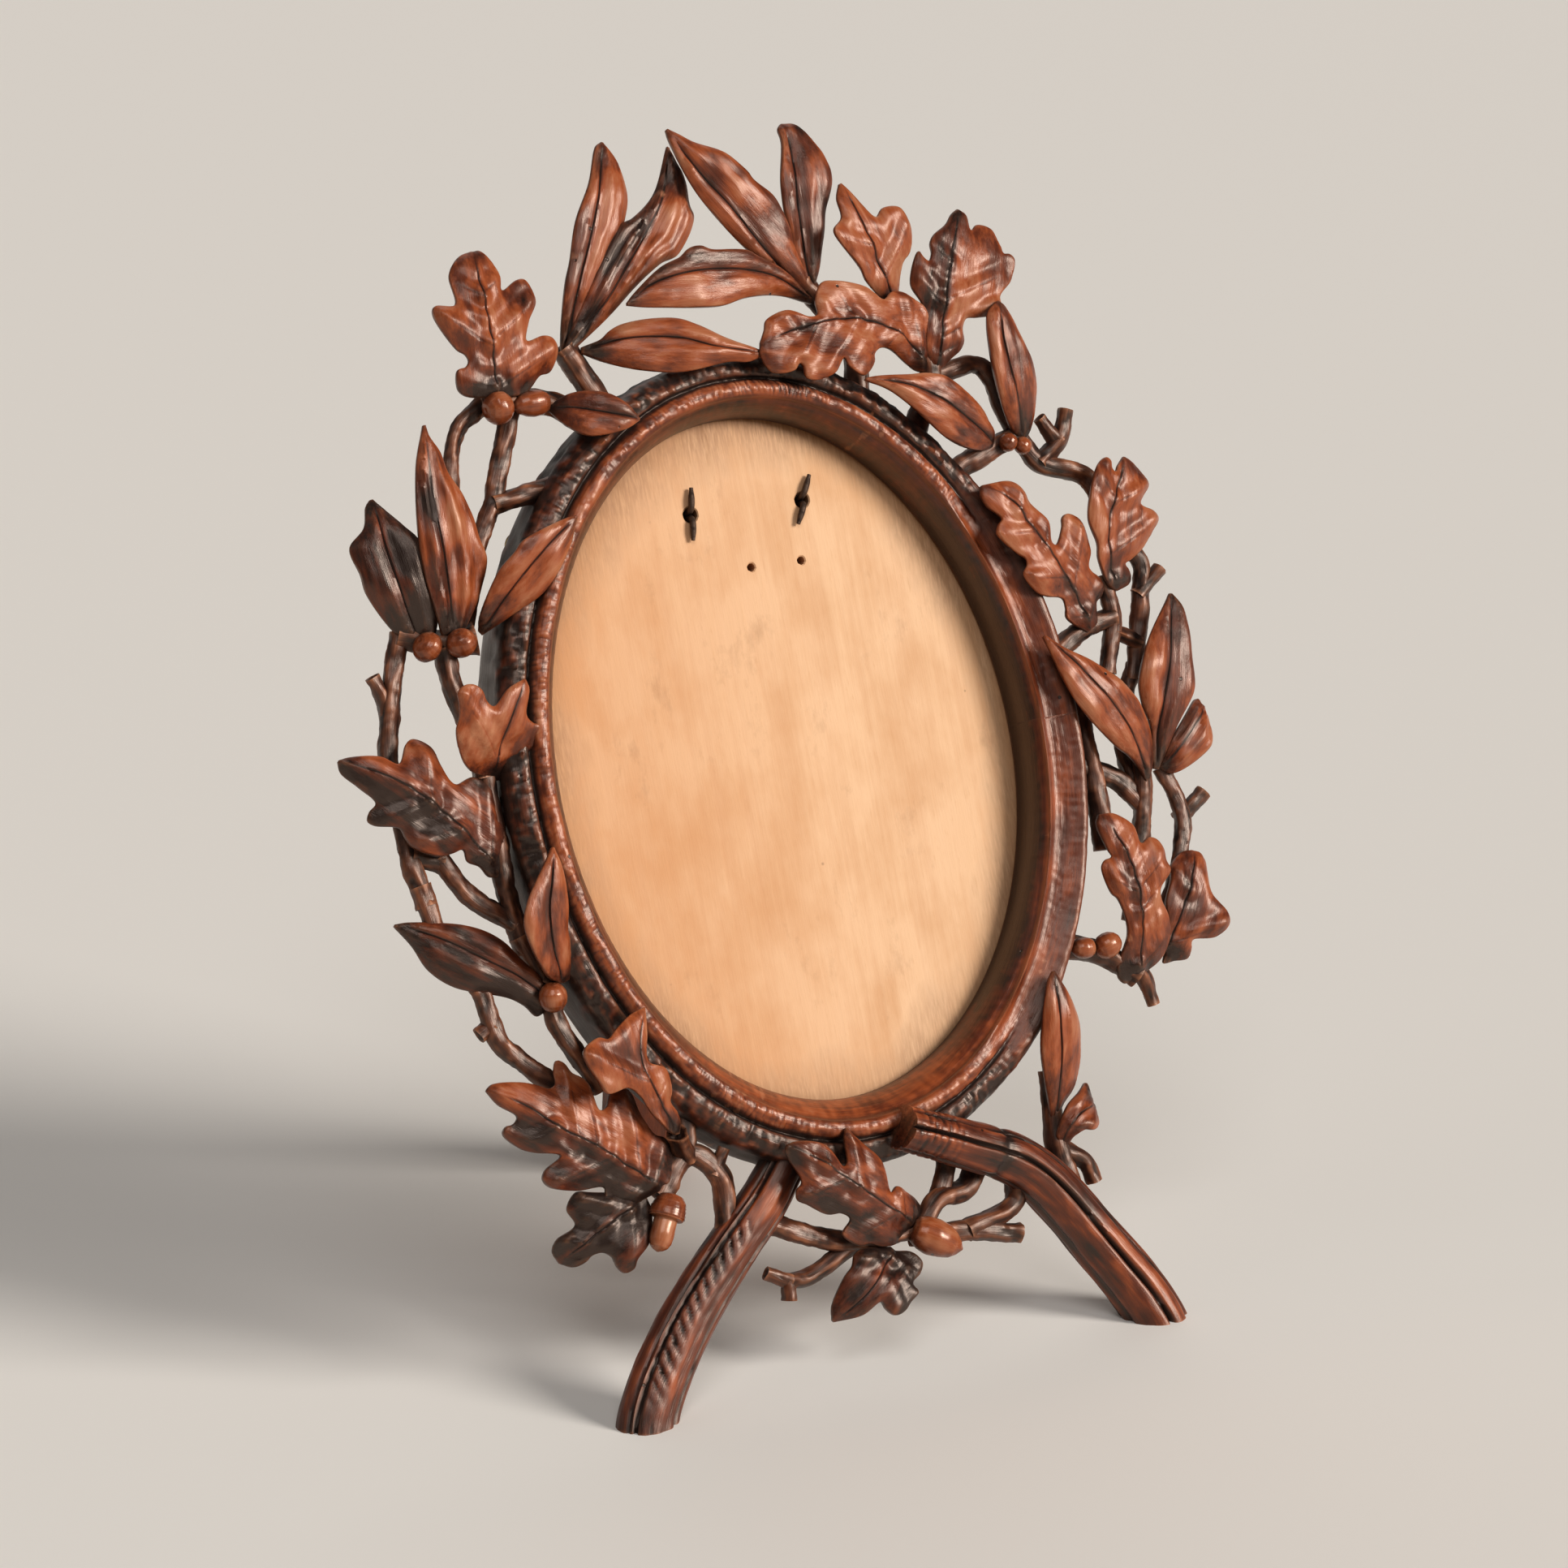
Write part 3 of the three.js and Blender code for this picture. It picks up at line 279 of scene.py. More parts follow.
@dataclass
class Shape:
    """A closed mesh in the making, with the fibre direction and tone that its finish reads."""

    points: np.ndarray
    faces: list[list[int]]
    grain: np.ndarray
    tone: np.ndarray

    @classmethod
    def loft(cls, rings: np.ndarray, grain: np.ndarray, tone: np.ndarray, closed: bool = False) -> "Shape":
        """Join rings of points, each to the next.

        Args:
            rings: stations by sides by u, v, w.
            grain: fibre coordinates in millimetres, in the same layout.
            tone: 0 dark, 0.5 plain, 1 worn, in the same layout.
            closed: True for a loop; otherwise both ends are capped.

        Returns:
            The closed shape.
        """
        count, sides = rings.shape[:2]
        here = np.arange(count * sides).reshape(count, sides)
        there = np.roll(here, -1, 0) if closed else here[1:]
        here = here if closed else here[:-1]
        quads = np.stack([here, np.roll(here, -1, 1), np.roll(there, -1, 1), there], -1)
        faces = quads.reshape(-1, 4).tolist()
        if not closed:
            last = (count - 1) * sides
            faces += [list(range(sides))[::-1], list(range(last, last + sides))]
        return cls(rings.reshape(-1, 3), faces, grain.reshape(-1, 3), tone.reshape(-1))

    @classmethod
    def joined(cls, shapes: list["Shape"]) -> "Shape":
        """Several shapes as one.

        Args:
            shapes: the shapes, at least one.

        Returns:
            One shape with all their points and faces.
        """
        faces, start = [], 0
        for shape in shapes:
            faces += [[start + corner for corner in face] for face in shape.faces]
            start += len(shape.points)
        whole = [np.concatenate([getattr(s, name) for s in shapes]) for name in ("points", "grain", "tone")]
        return cls(whole[0], faces, whole[1], whole[2])

    @classmethod
    def slab(cls, loops: list[np.ndarray], upper: Face, lower: Face, eased: float) -> "Shape":
        """A closed slab: an upper and a lower side over one outline, joined round every edge.

        Args:
            loops: u and v of the outline, anticlockwise, and then of each hole, clockwise.
            upper: points inside the upper side, and what gives heights and tones for any points.
            lower: the same for the lower side.
            eased: how far the edges are rounded.

        Returns:
            The closed shape.
        """
        insets = []
        for loop in loops:
            way = np.roll(loop, -1, 0) - np.roll(loop, 1, 0)
            inward = np.stack([-way[:, 1], way[:, 0]], -1) / np.linalg.norm(way, axis=1, keepdims=True)
            insets.append(loop + inward * eased)
        rim, ring = np.vstack(loops), np.vstack(insets)
        ends = np.cumsum([len(loop) for loop in loops])
        ahead = np.arange(1, len(ring) + 1)
        ahead[ends - 1] = np.concatenate([[0], ends[:-1]])
        edges = [(first, int(last)) for first, last in enumerate(ahead)]
        points, tones, faces, rings, count = [], [], [], [], 0
        for (inner, level), way in ((upper, -1), (lower, 1)):
            spots = [Vector(spot) for spot in np.vstack([ring, inner])]
            net = delaunay_2d_cdt(spots, edges, [], 2, 1e-5)
            plan = np.array([spot[:] for spot in net[0]])
            found = {old: new for new, olds in enumerate(net[3]) for old in olds}
            corner = np.array([found[old] for old in range(len(ring))])
            height, tone = level(plan)
            middles = plan[np.array(net[2])].mean(1)
            hollow = np.zeros(len(middles), bool)
            for hole in insets[1:]:
                hollow |= within(middles, hole)
            kept = [face for face, gone in zip(net[2], hollow) if not gone]
            faces += [[count + index for index in face] for face in kept]
            rings += [count + corner, count + len(plan) + np.arange(len(rim))]
            points += [np.column_stack([plan, height]), np.column_stack([rim, height[corner] + way * eased])]
            tones += [tone, tone[corner]]
            count += len(plan) + len(rim)
        order = [rings[0], rings[1], rings[3], rings[2]]
        for first, last in zip(order, order[1:]):
            faces += np.stack([first, first[ahead], last[ahead], last], -1).tolist()
        points = np.vstack(points)
        return cls(points, faces, points * 1.0, np.concatenate(tones))

    @classmethod
    def plate(cls, outlines: list[np.ndarray], depth: float, edge: float) -> "Shape":
        """A flat plate with eased edges, lying on w = 0.

        Args:
            outlines: u and v of the outside, anticlockwise, and then of each hole, anticlockwise too.
            depth: its thickness.
            edge: how far the edges are eased.

        Returns:
            The closed shape, with its fibres along v.
        """
        holes = [outline[::-1] for outline in outlines[1:]]
        step = float(np.ptp(outlines[0], axis=0).max()) / 16
        inner = hex_grid(outlines[0], step, step / 2)
        for hole in holes:
            inner = inner[~within(inner, hole) & (nearest(inner, hole)[1] > 0.6)]

        def level(height: float) -> Face:
            """A flat side at that height."""
            return inner, lambda plan: (np.full(len(plan), height), np.full(len(plan), PLAIN))

        shape = cls.slab([outlines[0], *holes], level(depth), level(0.0), edge)
        shape.grain = shape.points[:, [1, 0, 2]]
        return shape


@dataclass(frozen=True)
class Maker:
    """What every piece needs when it joins the frame."""

    finish: bpy.types.Material
    slot: str
    body: str = "frame"

    def add(self, name: str, shape: Shape, nodes: tuple[str, ...] = (), sharp: float = 45) -> None:
        """Turn a shape into a piece that rides on its body.

        Args:
            name: the piece's name.
            shape: its mesh, laid flat.
            nodes: the solids it stands for.
            sharp: degrees above which an edge stays crisp.
        """
        mesh = bpy.data.meshes.new(name)
        mesh.from_pydata(FLAT.stand(shape.points).tolist(), [], shape.faces)
        grain = mesh.attributes.new("grain", "FLOAT_VECTOR", "POINT")
        grain.data.foreach_set("vector", shape.grain.astype(np.float32).ravel())
        tone = mesh.attributes.new("tone", "FLOAT", "POINT")
        tone.data.foreach_set("value", shape.tone.astype(np.float32).ravel())
        skin = bmesh.new()
        skin.from_mesh(mesh)
        bmesh.ops.recalc_face_normals(skin, faces=skin.faces)
        skin.to_mesh(mesh)
        skin.free()
        mesh.shade_smooth()
        mesh.set_sharp_from_angle(angle=math.radians(sharp))
        mesh.materials.append(self.finish)
        piece = bpy.data.objects.new(name, mesh)
        bpy.context.scene.collection.objects.link(piece)
        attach(piece, self.body)
        if nodes:
            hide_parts(*nodes)
        LOG.info("%s: %d faces, on %s", name, len(mesh.polygons), self.body)


class NodeSheet:
    """The nodes of one finish, with a plain shader at the end."""

    def __init__(self, name: str, **shader: Any) -> None:
        """Start a finish.

        Args:
            name: the material's name.
            shader: even values for the shader's own sockets, with _ for a space.
        """
        self.material = bpy.data.materials.new(name)
        self.material.use_nodes = True
        self.tree = self.material.node_tree
        self.shader = self.tree.nodes["Principled BSDF"]
        for key, value in shader.items():
            self.shader.inputs[key.replace("_", " ")].default_value = value

    def add(self, kind: str, values: dict[str | int, Any] | None = None, **settings: Any) -> bpy.types.Node:
        """Add a node.

        Args:
            kind: the node's type without its ShaderNode prefix.
            values: a socket to link or a value, by input.
            settings: the node's own properties.

        Returns:
            The node.
        """
        node = self.tree.nodes.new("ShaderNode" + kind)
        for key, value in settings.items():
            setattr(node, key, value)
        for key, value in (values or {}).items():
            if isinstance(value, bpy.types.NodeSocket):
                self.tree.links.new(value, node.inputs[key])
            else:
                node.inputs[key].default_value = value
        return node

    def reach(self, name: str, source: Socket) -> None:
        """Link a socket to the shader's input of that name."""
        self.tree.links.new(source, self.shader.inputs[name])

    def attribute(self, name: str, output: str) -> Socket:
        """What the mesh carries under that name."""
        return self.add("Attribute", attribute_name=name).outputs[output]

    def stretch(self, vector: Socket, factors: Triple) -> Socket:
        """The vector times factors for each axis."""
        return self.add("VectorMath", {0: vector, 1: factors}, operation="MULTIPLY").outputs[0]

    def noise(self, vector: Socket, scale: float, detail: float = 4, rough: float = 0.55) -> Socket:
        """Noise from 0 to 1 at that scale."""
        values = {"Vector": vector, "Scale": scale, "Detail": detail, "Roughness": rough}
        return self.add("TexNoise", values).outputs[0]

    def math(self, operation: str, first: Socket | float, second: Socket | float = 0.0) -> Socket:
        """A sum or other operation on two numbers."""
        return self.add("Math", {0: first, 1: second}, operation=operation).outputs[0]

    def span(self, value: Socket, source: Span, target: Span = (0, 1)) -> Socket:
        """The value moved from one range to another, and held to it."""
        values = {0: value, 1: source[0], 2: source[1], 3: target[0], 4: target[1]}
        return self.add("MapRange", values).outputs[0]

    def mix(self, share: Socket | float, first: Socket | Colour, second: Socket | Colour) -> Socket:
        """Two colours mixed by a share."""
        return self.add("Mix", {0: share, 6: first, 7: second}, data_type="RGBA").outputs[2]

    def ramp(self, value: Socket, stops: list[tuple[float, Colour]]) -> Socket:
        """A colour ramp.

        Args:
            value: where along the ramp.
            stops: places and their colours, in order.

        Returns:
            The colour there.
        """
        node = self.add("ValToRGB", {0: value})
        for place, colour in stops[2:]:
            node.color_ramp.elements.new(place).color = colour
        for element, (place, colour) in zip(node.color_ramp.elements, stops):
            element.position, element.color = place, colour
        return node.outputs[0]

    def dots(self, vector: Socket, scale: float, size: Span, chosen: Span) -> Socket:
        """Round dots, scattered over the surface.

        Args:
            vector: where the pattern is read.
            scale: cells for each millimetre.
            size: distances from a cell's middle at which a dot begins and is full.
            chosen: the range of a cell's own number over which it gains a dot.

        Returns:
            1 in a dot and 0 beside it.
        """
        cells = self.add("TexVoronoi", {"Vector": vector, "Scale": scale, "Randomness": 1.0}).outputs
        pick = self.add("SeparateColor", {0: cells["Color"]}).outputs[0]
        return self.math("MULTIPLY", self.span(cells["Distance"], size), self.span(pick, chosen))

    def hollow(self, distance: float) -> Socket:
        """1 in the open, towards 0 in corners."""
        return self.add("AmbientOcclusion", {"Distance": distance}, samples=8).outputs["AO"]

    def edges(self) -> Socket:
        """About 0.5 on flat wood, more on edges that stand out."""
        return self.add("NewGeometry").outputs["Pointiness"]

    def relief(self, height: Socket, depth: float, strength: float) -> None:
        """Bump the shader by a height.

        Args:
            height: 0 to 1.
            depth: metres that 1 stands for.
            strength: share of it that shows.
        """
        values = {"Height": height, "Distance": depth, "Strength": strength}
        self.reach("Normal", self.add("Bump", values).outputs[0])


@dataclass(frozen=True)
class StainedWood:
    """Carved wood, stained red-brown and waxed: worn orange on its edges, with painted shade darkening its
    cuts and hollows.
    """

    name: str
    deep: Colour = (0.009, 0.0026, 0.0014, 1)
    body: Colour = (0.120, 0.021, 0.006, 1)
    warm: Colour = (0.320, 0.066, 0.016, 1)
    worn: Colour = (0.50, 0.200, 0.095, 1)
    sheen: Colour = (1.0, 0.78, 0.66, 1)
    rough: Span = (0.30, 0.48)
    fibre: float = 0.35
    wear: float = 0.55

    def make(self) -> bpy.types.Material:
        """The finish as a material.

        Returns:
            The material with its nodes.
        """
        sheet = NodeSheet(self.name, Specular_IOR_Level=0.8, Specular_Tint=self.sheen)
        grain = sheet.attribute("grain", "Vector")
        tone = sheet.attribute("tone", "Fac")
        fibres = sheet.noise(sheet.stretch(grain, (0.07, 1.0, 1.0)), 1.1, 6, 0.62)
        hairs = sheet.noise(sheet.stretch(grain, (0.22, 5.0, 5.0)), 1.0, 3)
        clouds = sheet.noise(sheet.stretch(grain, (0.08, 0.20, 0.20)), 1.0, 3)
        shade = sheet.math("ADD", sheet.math("MULTIPLY", fibres, 0.5), sheet.math("MULTIPLY", clouds, 0.7))
        shade = sheet.math("ADD", shade, sheet.span(tone, (0, 1), (-0.82, 0.24)))
        stops = [(0.02, self.deep), (0.30, self.body), (0.50, self.warm), (0.85, self.worn)]
        colour = sheet.ramp(shade, stops)
        # painted shade: hollows and corners found by ambient occlusion are darkened towards the deep colour,
        # in patches
        patchy = sheet.span(clouds, (0.2, 0.7), (1.0, 0.7))
        recess_shade = sheet.math("MULTIPLY", sheet.span(sheet.hollow(0.006), (0.86, 0.32)), patchy)
        colour = sheet.mix(recess_shade, colour, self.deep)
        proud = sheet.span(sheet.edges(), (0.515, 0.60))
        rubbed = sheet.math("MULTIPLY", proud, sheet.span(fibres, (0.3, 0.65)))
        colour = sheet.mix(sheet.math("MULTIPLY", rubbed, self.wear), colour, self.worn)
        # painted shade: small pits get dark dots in the deep colour and are sunk a little by the bump
        shaded_pits = sheet.dots(grain, 0.16, (0.07, 0.045), (0.72, 0.74))
        colour = sheet.mix(shaded_pits, colour, self.deep)
        sheet.reach("Base Color", colour)
        gloss = sheet.span(sheet.math("ADD", fibres, recess_shade), (0.3, 1.1), self.rough)
        sheet.reach("Roughness", gloss)
        height = sheet.math("ADD", sheet.math("MULTIPLY", fibres, 0.8), sheet.math("MULTIPLY", hairs, 0.35))
        height = sheet.math("SUBTRACT", height, sheet.math("MULTIPLY", shaded_pits, 2.0))
        sheet.relief(height, 0.0004, self.fibre)
        return sheet.material


@dataclass(frozen=True)
class BareBoard:
    """Pale bare wood with fine upright grain, flecks, specks and a dirty rim, darker towards the left, with
    painted shade where it meets the ring.
    """

    name: str = "bare_board"
    pale: Colour = (0.87, 0.54, 0.31, 1)
    darker_left: Colour = (0.69, 0.32, 0.135, 1)
    tan: Colour = (0.70, 0.37, 0.175, 1)
    stain_and_shade: Colour = (0.33, 0.15, 0.065, 1)
    speck: Colour = (0.10, 0.04, 0.02, 1)
    opening: Span = FLAT.sight

    def make(self) -> bpy.types.Material:
        """The finish as a material.

        Returns:
            The material with its nodes.
        """
        sheet = NodeSheet(self.name, Specular_IOR_Level=0.3)
        grain = sheet.attribute("grain", "Vector")
        fibres = sheet.noise(sheet.stretch(grain, (0.018, 0.55, 0.3)), 1.0, 7, 0.6)
        flecks = sheet.noise(sheet.stretch(grain, (0.35, 2.6, 1.0)), 1.0, 2)
        clouds = sheet.noise(sheet.stretch(grain, (0.05, 0.085, 0.05)), 1.0, 4)
        shade = sheet.math("ADD", sheet.math("MULTIPLY", fibres, 0.4), sheet.math("MULTIPLY", clouds, 0.6))
        colour = sheet.ramp(shade, [(0.34, self.tan), (0.58, self.pale)])
        across = sheet.add("SeparateXYZ", {0: grain}).outputs[1]
        patchy = sheet.span(clouds, (0.3, 0.6), (1.0, 0.6))
        # darker towards the left, in patches
        darker_left = sheet.math("MULTIPLY", sheet.span(across, (16, -44)), patchy)
        colour = sheet.mix(darker_left, colour, self.darker_left)
        colour = sheet.mix(sheet.span(flecks, (0.62, 0.74), (0, 0.30)), colour, self.tan)
        place = sheet.stretch(grain, (1 / self.opening[1], 1 / self.opening[0], 0))
        middle = sheet.add("VectorMath", {0: place}, operation="LENGTH").outputs["Value"]
        rim = sheet.math("ADD", middle, sheet.math("MULTIPLY", clouds, 0.3))
        speckled = sheet.span(flecks, (0.25, 0.6), (0.35, 0.85))
        dirt = sheet.math("MULTIPLY", sheet.span(rim, (0.96, 1.16)), speckled)
        colour = sheet.mix(dirt, colour, self.stain_and_shade)
        smear = sheet.noise(sheet.stretch(grain, (0.06, 0.11, 0.05)), 1.0, 5, 0.7)
        colour = sheet.mix(sheet.span(smear, (0.60, 0.78), (0, 0.38)), colour, self.stain_and_shade)
        specks = sheet.dots(grain, 0.11, (0.045, 0.02), (0.6, 0.75))
        colour = sheet.mix(sheet.math("MULTIPLY", specks, 0.8), colour, self.speck)
        # painted shade: the board is darkened towards dark brown where it meets the ring, found by ambient
        # occlusion
        colour = sheet.mix(sheet.span(sheet.hollow(0.004), (0.75, 0.3), (0, 0.75)), colour, self.stain_and_shade)
        sheet.reach("Base Color", colour)
        sheet.reach("Roughness", sheet.span(fibres, (0.3, 0.7), (0.58, 0.76)))
        sheet.relief(sheet.math("ADD", fibres, sheet.math("MULTIPLY", flecks, 0.4)), 0.0003, 0.25)
        return sheet.material


@dataclass(frozen=True)
class DullMetal:
    """Old metal: bright where it is rubbed, brown in its corners."""

    name: str
    bright: Colour
    brown: Colour
    metal: float
    rough: Span

    def make(self) -> bpy.types.Material:
        """The finish as a material.

        Returns:
            The material with its nodes.
        """
        sheet = NodeSheet(self.name, Metallic=self.metal)
        place = sheet.attribute("grain", "Vector")
        spots = sheet.noise(place, 0.9, 5, 0.65)
        lines = sheet.noise(sheet.stretch(place, (0.4, 6.0, 6.0)), 1.0, 3)
        corner = sheet.span(sheet.hollow(0.002), (0.9, 0.3))
        share = sheet.math("ADD", sheet.span(spots, (0.40, 0.68)), corner)
        share = sheet.math("SUBTRACT", share, sheet.span(sheet.edges(), (0.52, 0.62), (0, 0.6)))
        sheet.reach("Base Color", sheet.ramp(share, [(0.1, self.bright), (0.9, self.brown)]))
        sheet.reach("Roughness", sheet.span(spots, (0.3, 0.7), self.rough))
        sheet.relief(sheet.math("ADD", lines, sheet.math("MULTIPLY", spots, 0.6)), 0.0002, 0.3)
        return sheet.material


@dataclass(frozen=True, kw_only=True)
class Leaf:
    """A carved leaf, drawn in millimetres along the line from base to tip and to the left of it."""

    base: Place
    tip: Place
    rise: Span
    rib: tuple[Place, ...]
    left: tuple[Place, ...]
    right: tuple[Place, ...]
    fold: Span = (0.1, 0.1)
    # tone added to the left and right halves of the leaf: painted light and shade
    stain_and_shade: Span = (0.0, 0.0)
    ridges: float = 0.10
    # the leaf's own tone, set lighter for leaves standing in the light and darker for leaves in shade:
    # partly painted light and shade
    tone: float = 0.5
    arch: float = 3
    puff: float = 0.85
    soft: float = 0.9
    wave: float = 0.9
    rim: float = 0.22
    step: float = 0.6
    ends: Span = (0.6, 0.25)
    rib_step: float = 0.25
    edge_step: float = 0.42
    line_depth: float = 0.42
    rib_width: float = 0.17
    vein_width: float = 0.2
    belly: float = 0.5
    back: float = 0.65
    thinnest: float = 0.7

    @property
    def span(self) -> np.ndarray:
        """From base to tip, in u and v."""
        return FLAT.on_wreath(self.tip) - FLAT.on_wreath(self.base)

    @property
    def length(self) -> float:
        """The line between base and tip."""
        return float(np.linalg.norm(self.span))

    @cached_property
    def midline(self) -> np.ndarray:
        """The rib in even steps."""
        return even_path(np.array([(0, 0), *self.rib, (self.length, 0)]), self.rib_step)

    @cached_property
    def sides(self) -> tuple[np.ndarray, np.ndarray]:
        """The left and right sides.

        Returns:
            Both from base to tip, in even steps.
        """
        start, end = np.array([0, self.ends[0]]), np.array([self.length, self.ends[1]])
        flip = np.array([1, -1])
        left = even_path(np.array([start, *self.left, end]), self.edge_step)
        return left, even_path(np.array([start * flip, *self.right, end * flip]), self.edge_step)

    @cached_property
    def veins(self) -> list[np.ndarray]:
        """The lines cut from the rib into the leaf."""
        return []

    def relief(self, plan: np.ndarray, across: np.ndarray, grain: np.ndarray, seed: int) -> np.ndarray:
        """Height of the carving on top of the plain leaf.

        Args:
            plan: places on the leaf.
            across: 0 on the rib to 1 on the edge.
            grain: fibre coordinates there.
            seed: moves the unevenness.

        Returns:
            Millimetres at each place.
        """
        raise NotImplementedError

    def ground(self, plan: np.ndarray) -> tuple[np.ndarray, ...]:
        """The plain leaf.

        Args:
            plan: places on the leaf.

        Returns:
            Its middle layer's height, the share along the rib, the distances from the rib and from the
            edge, and whether the place is left of the rib.
        """
        rib = self.midline
        spot, off = nearest(plan, rib)
        share = spot / (len(rib) - 1)
        along, gap = np.gradient(rib, axis=0)[spot], plan - rib[spot]
        left = along[:, 0] * gap[:, 1] > along[:, 1] * gap[:, 0]
        inside = nearest(plan, np.vstack(self.sides))[1]
        crest = self.rise[0] + (self.rise[1] - self.rise[0]) * share
        crest = crest + 4 * share * (1 - share) * self.arch
        fall = np.where(left, *self.fold) * off
        return crest - fall, share, off, inside, left

    def upper(self, plan: np.ndarray, seed: int) -> tuple[np.ndarray, np.ndarray]:
        """The carved side.

        Args:
            plan: places on the leaf.
            seed: moves the unevenness.

        Returns:
            Height and tone at each place.
        """
        middle, share, off, inside, left = self.ground(plan)
        full = 1 - np.exp(-inside / self.soft)
        grain = np.column_stack([plan, 0 * share]) + LEAF_STRIDE * seed
        across = off / (off + inside + 0.01)
        cut = 0.8 * bump(off, 0, self.rib_width) * ease(share, 0.01, 0.08) * (1 - ease(share, 0.84, 0.98))
        for vein in self.veins:
            spot, away = nearest(plan, vein)
            line = 0.3 * bump(away, 0, self.vein_width) * (1 - ease(spot / len(vein), 0.5, 0.95))
            cut = np.maximum(cut, line)
        broad = wave_noise(grain, (0.13, 0.15, 1), seed)
        gouge = wave_noise(grain, (0.10, 0.5, 1), seed + 1)
        facet = wave_noise(grain, (0.35, 0.6, 1), seed + 2)
        height = middle + 0.25 + self.puff * full + self.relief(plan, across, grain, seed) * full
        height = height + 0.75 * broad * full + 0.26 * gouge + 0.10 * facet - self.line_depth * cut
        height = height + self.wave * across**2 * wave_noise(grain, (0.17, 0.05, 1), seed + 3)
        # painted shade: the rib and vein cuts are darkened as well as sunk
        tone = self.tone - 0.5 * cut + 0.25 * broad + 0.14 * gouge + 0.1 * facet
        tone = tone + 0.16 * np.exp(-inside / 0.3)
        # painted shade: darker towards the base, where the leaf tucks under, and at the tip
        tone = tone - 0.38 * ease(-share, -0.2, 0) - 0.12 * ease(share, 0.88, 1.0)
        # painted light and shade: each half of the leaf is lightened where it faces the light and darkened
        # where it turns away
        tone = tone + np.where(left, *self.stain_and_shade) * ease(off, 0.1, 1.5)
        return np.maximum(height, self.lower(plan)[0] + self.thinnest), tone

    def lower(self, plan: np.ndarray) -> tuple[np.ndarray, np.ndarray]:
        """The plain underside.

        Args:
            plan: places on the leaf.

        Returns:
            Height and tone at each place.
        """
        middle, _, _, inside, _ = self.ground(plan)
        height = middle - self.back - self.belly * (1 - np.exp(-inside / self.soft))
        # painted shade: the underside is darker than the top
        return height, np.full(len(plan), self.tone - 0.2)

    def build(self, seed: int) -> Shape:
        """The leaf as a closed shape.

        Args:
            seed: moves the small unevenness of the carving.

        Returns:
            The shape, laid flat.
        """
        loop = np.vstack([self.sides[1], self.sides[0][::-1]])
        kept = np.empty((0, 2))
        for line in (self.midline, *self.veins):
            along = np.gradient(line, axis=0)
            aside = np.column_stack([-along[:, 1], along[:, 0]])
            aside = aside / np.linalg.norm(along, axis=1, keepdims=True)
            for away in (0, 0.28, -0.28, 0.7, -0.7):
                row = (line + away * aside)[::2]
                row = row[within(row, loop)]
                row = row[nearest(row, loop)[1] > 2 * self.rim]
                if len(kept) and len(row):
                    row = row[nearest(row, kept)[1] > 0.2]
                kept = np.vstack([kept, row])
        grid = hex_grid(loop, self.step, 2 * self.rim)
        fine = np.vstack([kept, grid[nearest(grid, kept)[1] > 0.6 * self.step]])
        coarse = hex_grid(loop, 2.5 * self.step, self.step)
        carved = (fine, lambda plan: self.upper(plan, seed))
        shape = Shape.slab([loop], carved, (coarse, self.lower), self.rim)
        shape.grain = shape.points + LEAF_STRIDE * seed
        along = self.span / self.length
        turn = np.array([along, [-along[1], along[0]]])
        shape.points[:, :2] = shape.points[:, :2] @ turn + FLAT.on_wreath(self.base)
        return shape


@dataclass(frozen=True, kw_only=True)
class LaurelLeaf(Leaf):
    """A long pointed leaf, each half rounded beside the rib and cut lengthwise with a gouge."""

    cuts: float = 2.5

    def relief(self, plan: np.ndarray, across: np.ndarray, grain: np.ndarray, seed: int) -> np.ndarray:
        """A bolster on each half, with gouge cuts from base to tip."""
        wander = across + 0.06 * wave_noise(grain, (0.08, 0.2, 1), seed + 6)
        return 0.45 * np.sin(math.pi * across) + self.ridges * np.cos(2 * math.pi * self.cuts * wander)


@dataclass(frozen=True, kw_only=True)
class OakLeaf(Leaf):
    """A lobed leaf: each lobe is a cushion with a vein along it and an end that curls up or down."""

    curls: tuple[float, ...] = (1.2, -1.0, 0.7, -0.6, 1.0)
    puff: float = 0.95
    soft: float = 1.0
    step: float = 0.55
    radiate: float = 0.35
    lobe_reach: float = 3
    beside: int = 7

    @cached_property
    def veins(self) -> list[np.ndarray]:
        """A line from the rib into each lobe.

        Returns:
            The lines in even steps.
        """
        rib, lines = self.midline, []
        for side in self.sides:
            reach = nearest(side, rib)[1]
            for spot in range(self.beside, len(side) - self.beside):
                around = reach[spot - self.beside : spot + self.beside + 1]
                if reach[spot] < max(around.max(), self.lobe_reach) or side[spot, 0] > 0.94 * self.length:
                    continue
                root = np.clip(side[spot, 0] - 0.75 * reach[spot], 0.05 * self.length, 0.85 * self.length)
                start = rib[np.abs(rib[:, 0] - root).argmin()]
                end = start + 0.9 * (side[spot] - start)
                lines.append(even_path(np.array([start, end]), self.rib_step))
        return lines

    def relief(self, plan: np.ndarray, across: np.ndarray, grain: np.ndarray, seed: int) -> np.ndarray:
        """Curled lobes, and radiating gouge cuts.

        Args:
            plan: places on the leaf.
            across: 0 on the rib to 1 on the edge.
            grain: fibre coordinates there; not used.
            seed: picks the curls.

        Returns:
            Millimetres at each place.
        """
        height = self.ridges * np.cos(2 * math.pi * 1.5 * across)
        for number, vein in enumerate(self.veins):
            spot, away = nearest(plan, vein)
            lift = self.curls[(number + seed) % len(self.curls)]
            height = height + lift * bump(away, 0, 2.4) * (spot / len(vein)) ** 2
            height = height + self.radiate * (bump(away, 0, 1.2) - bump(away, 2.6, 1.0))
        return height


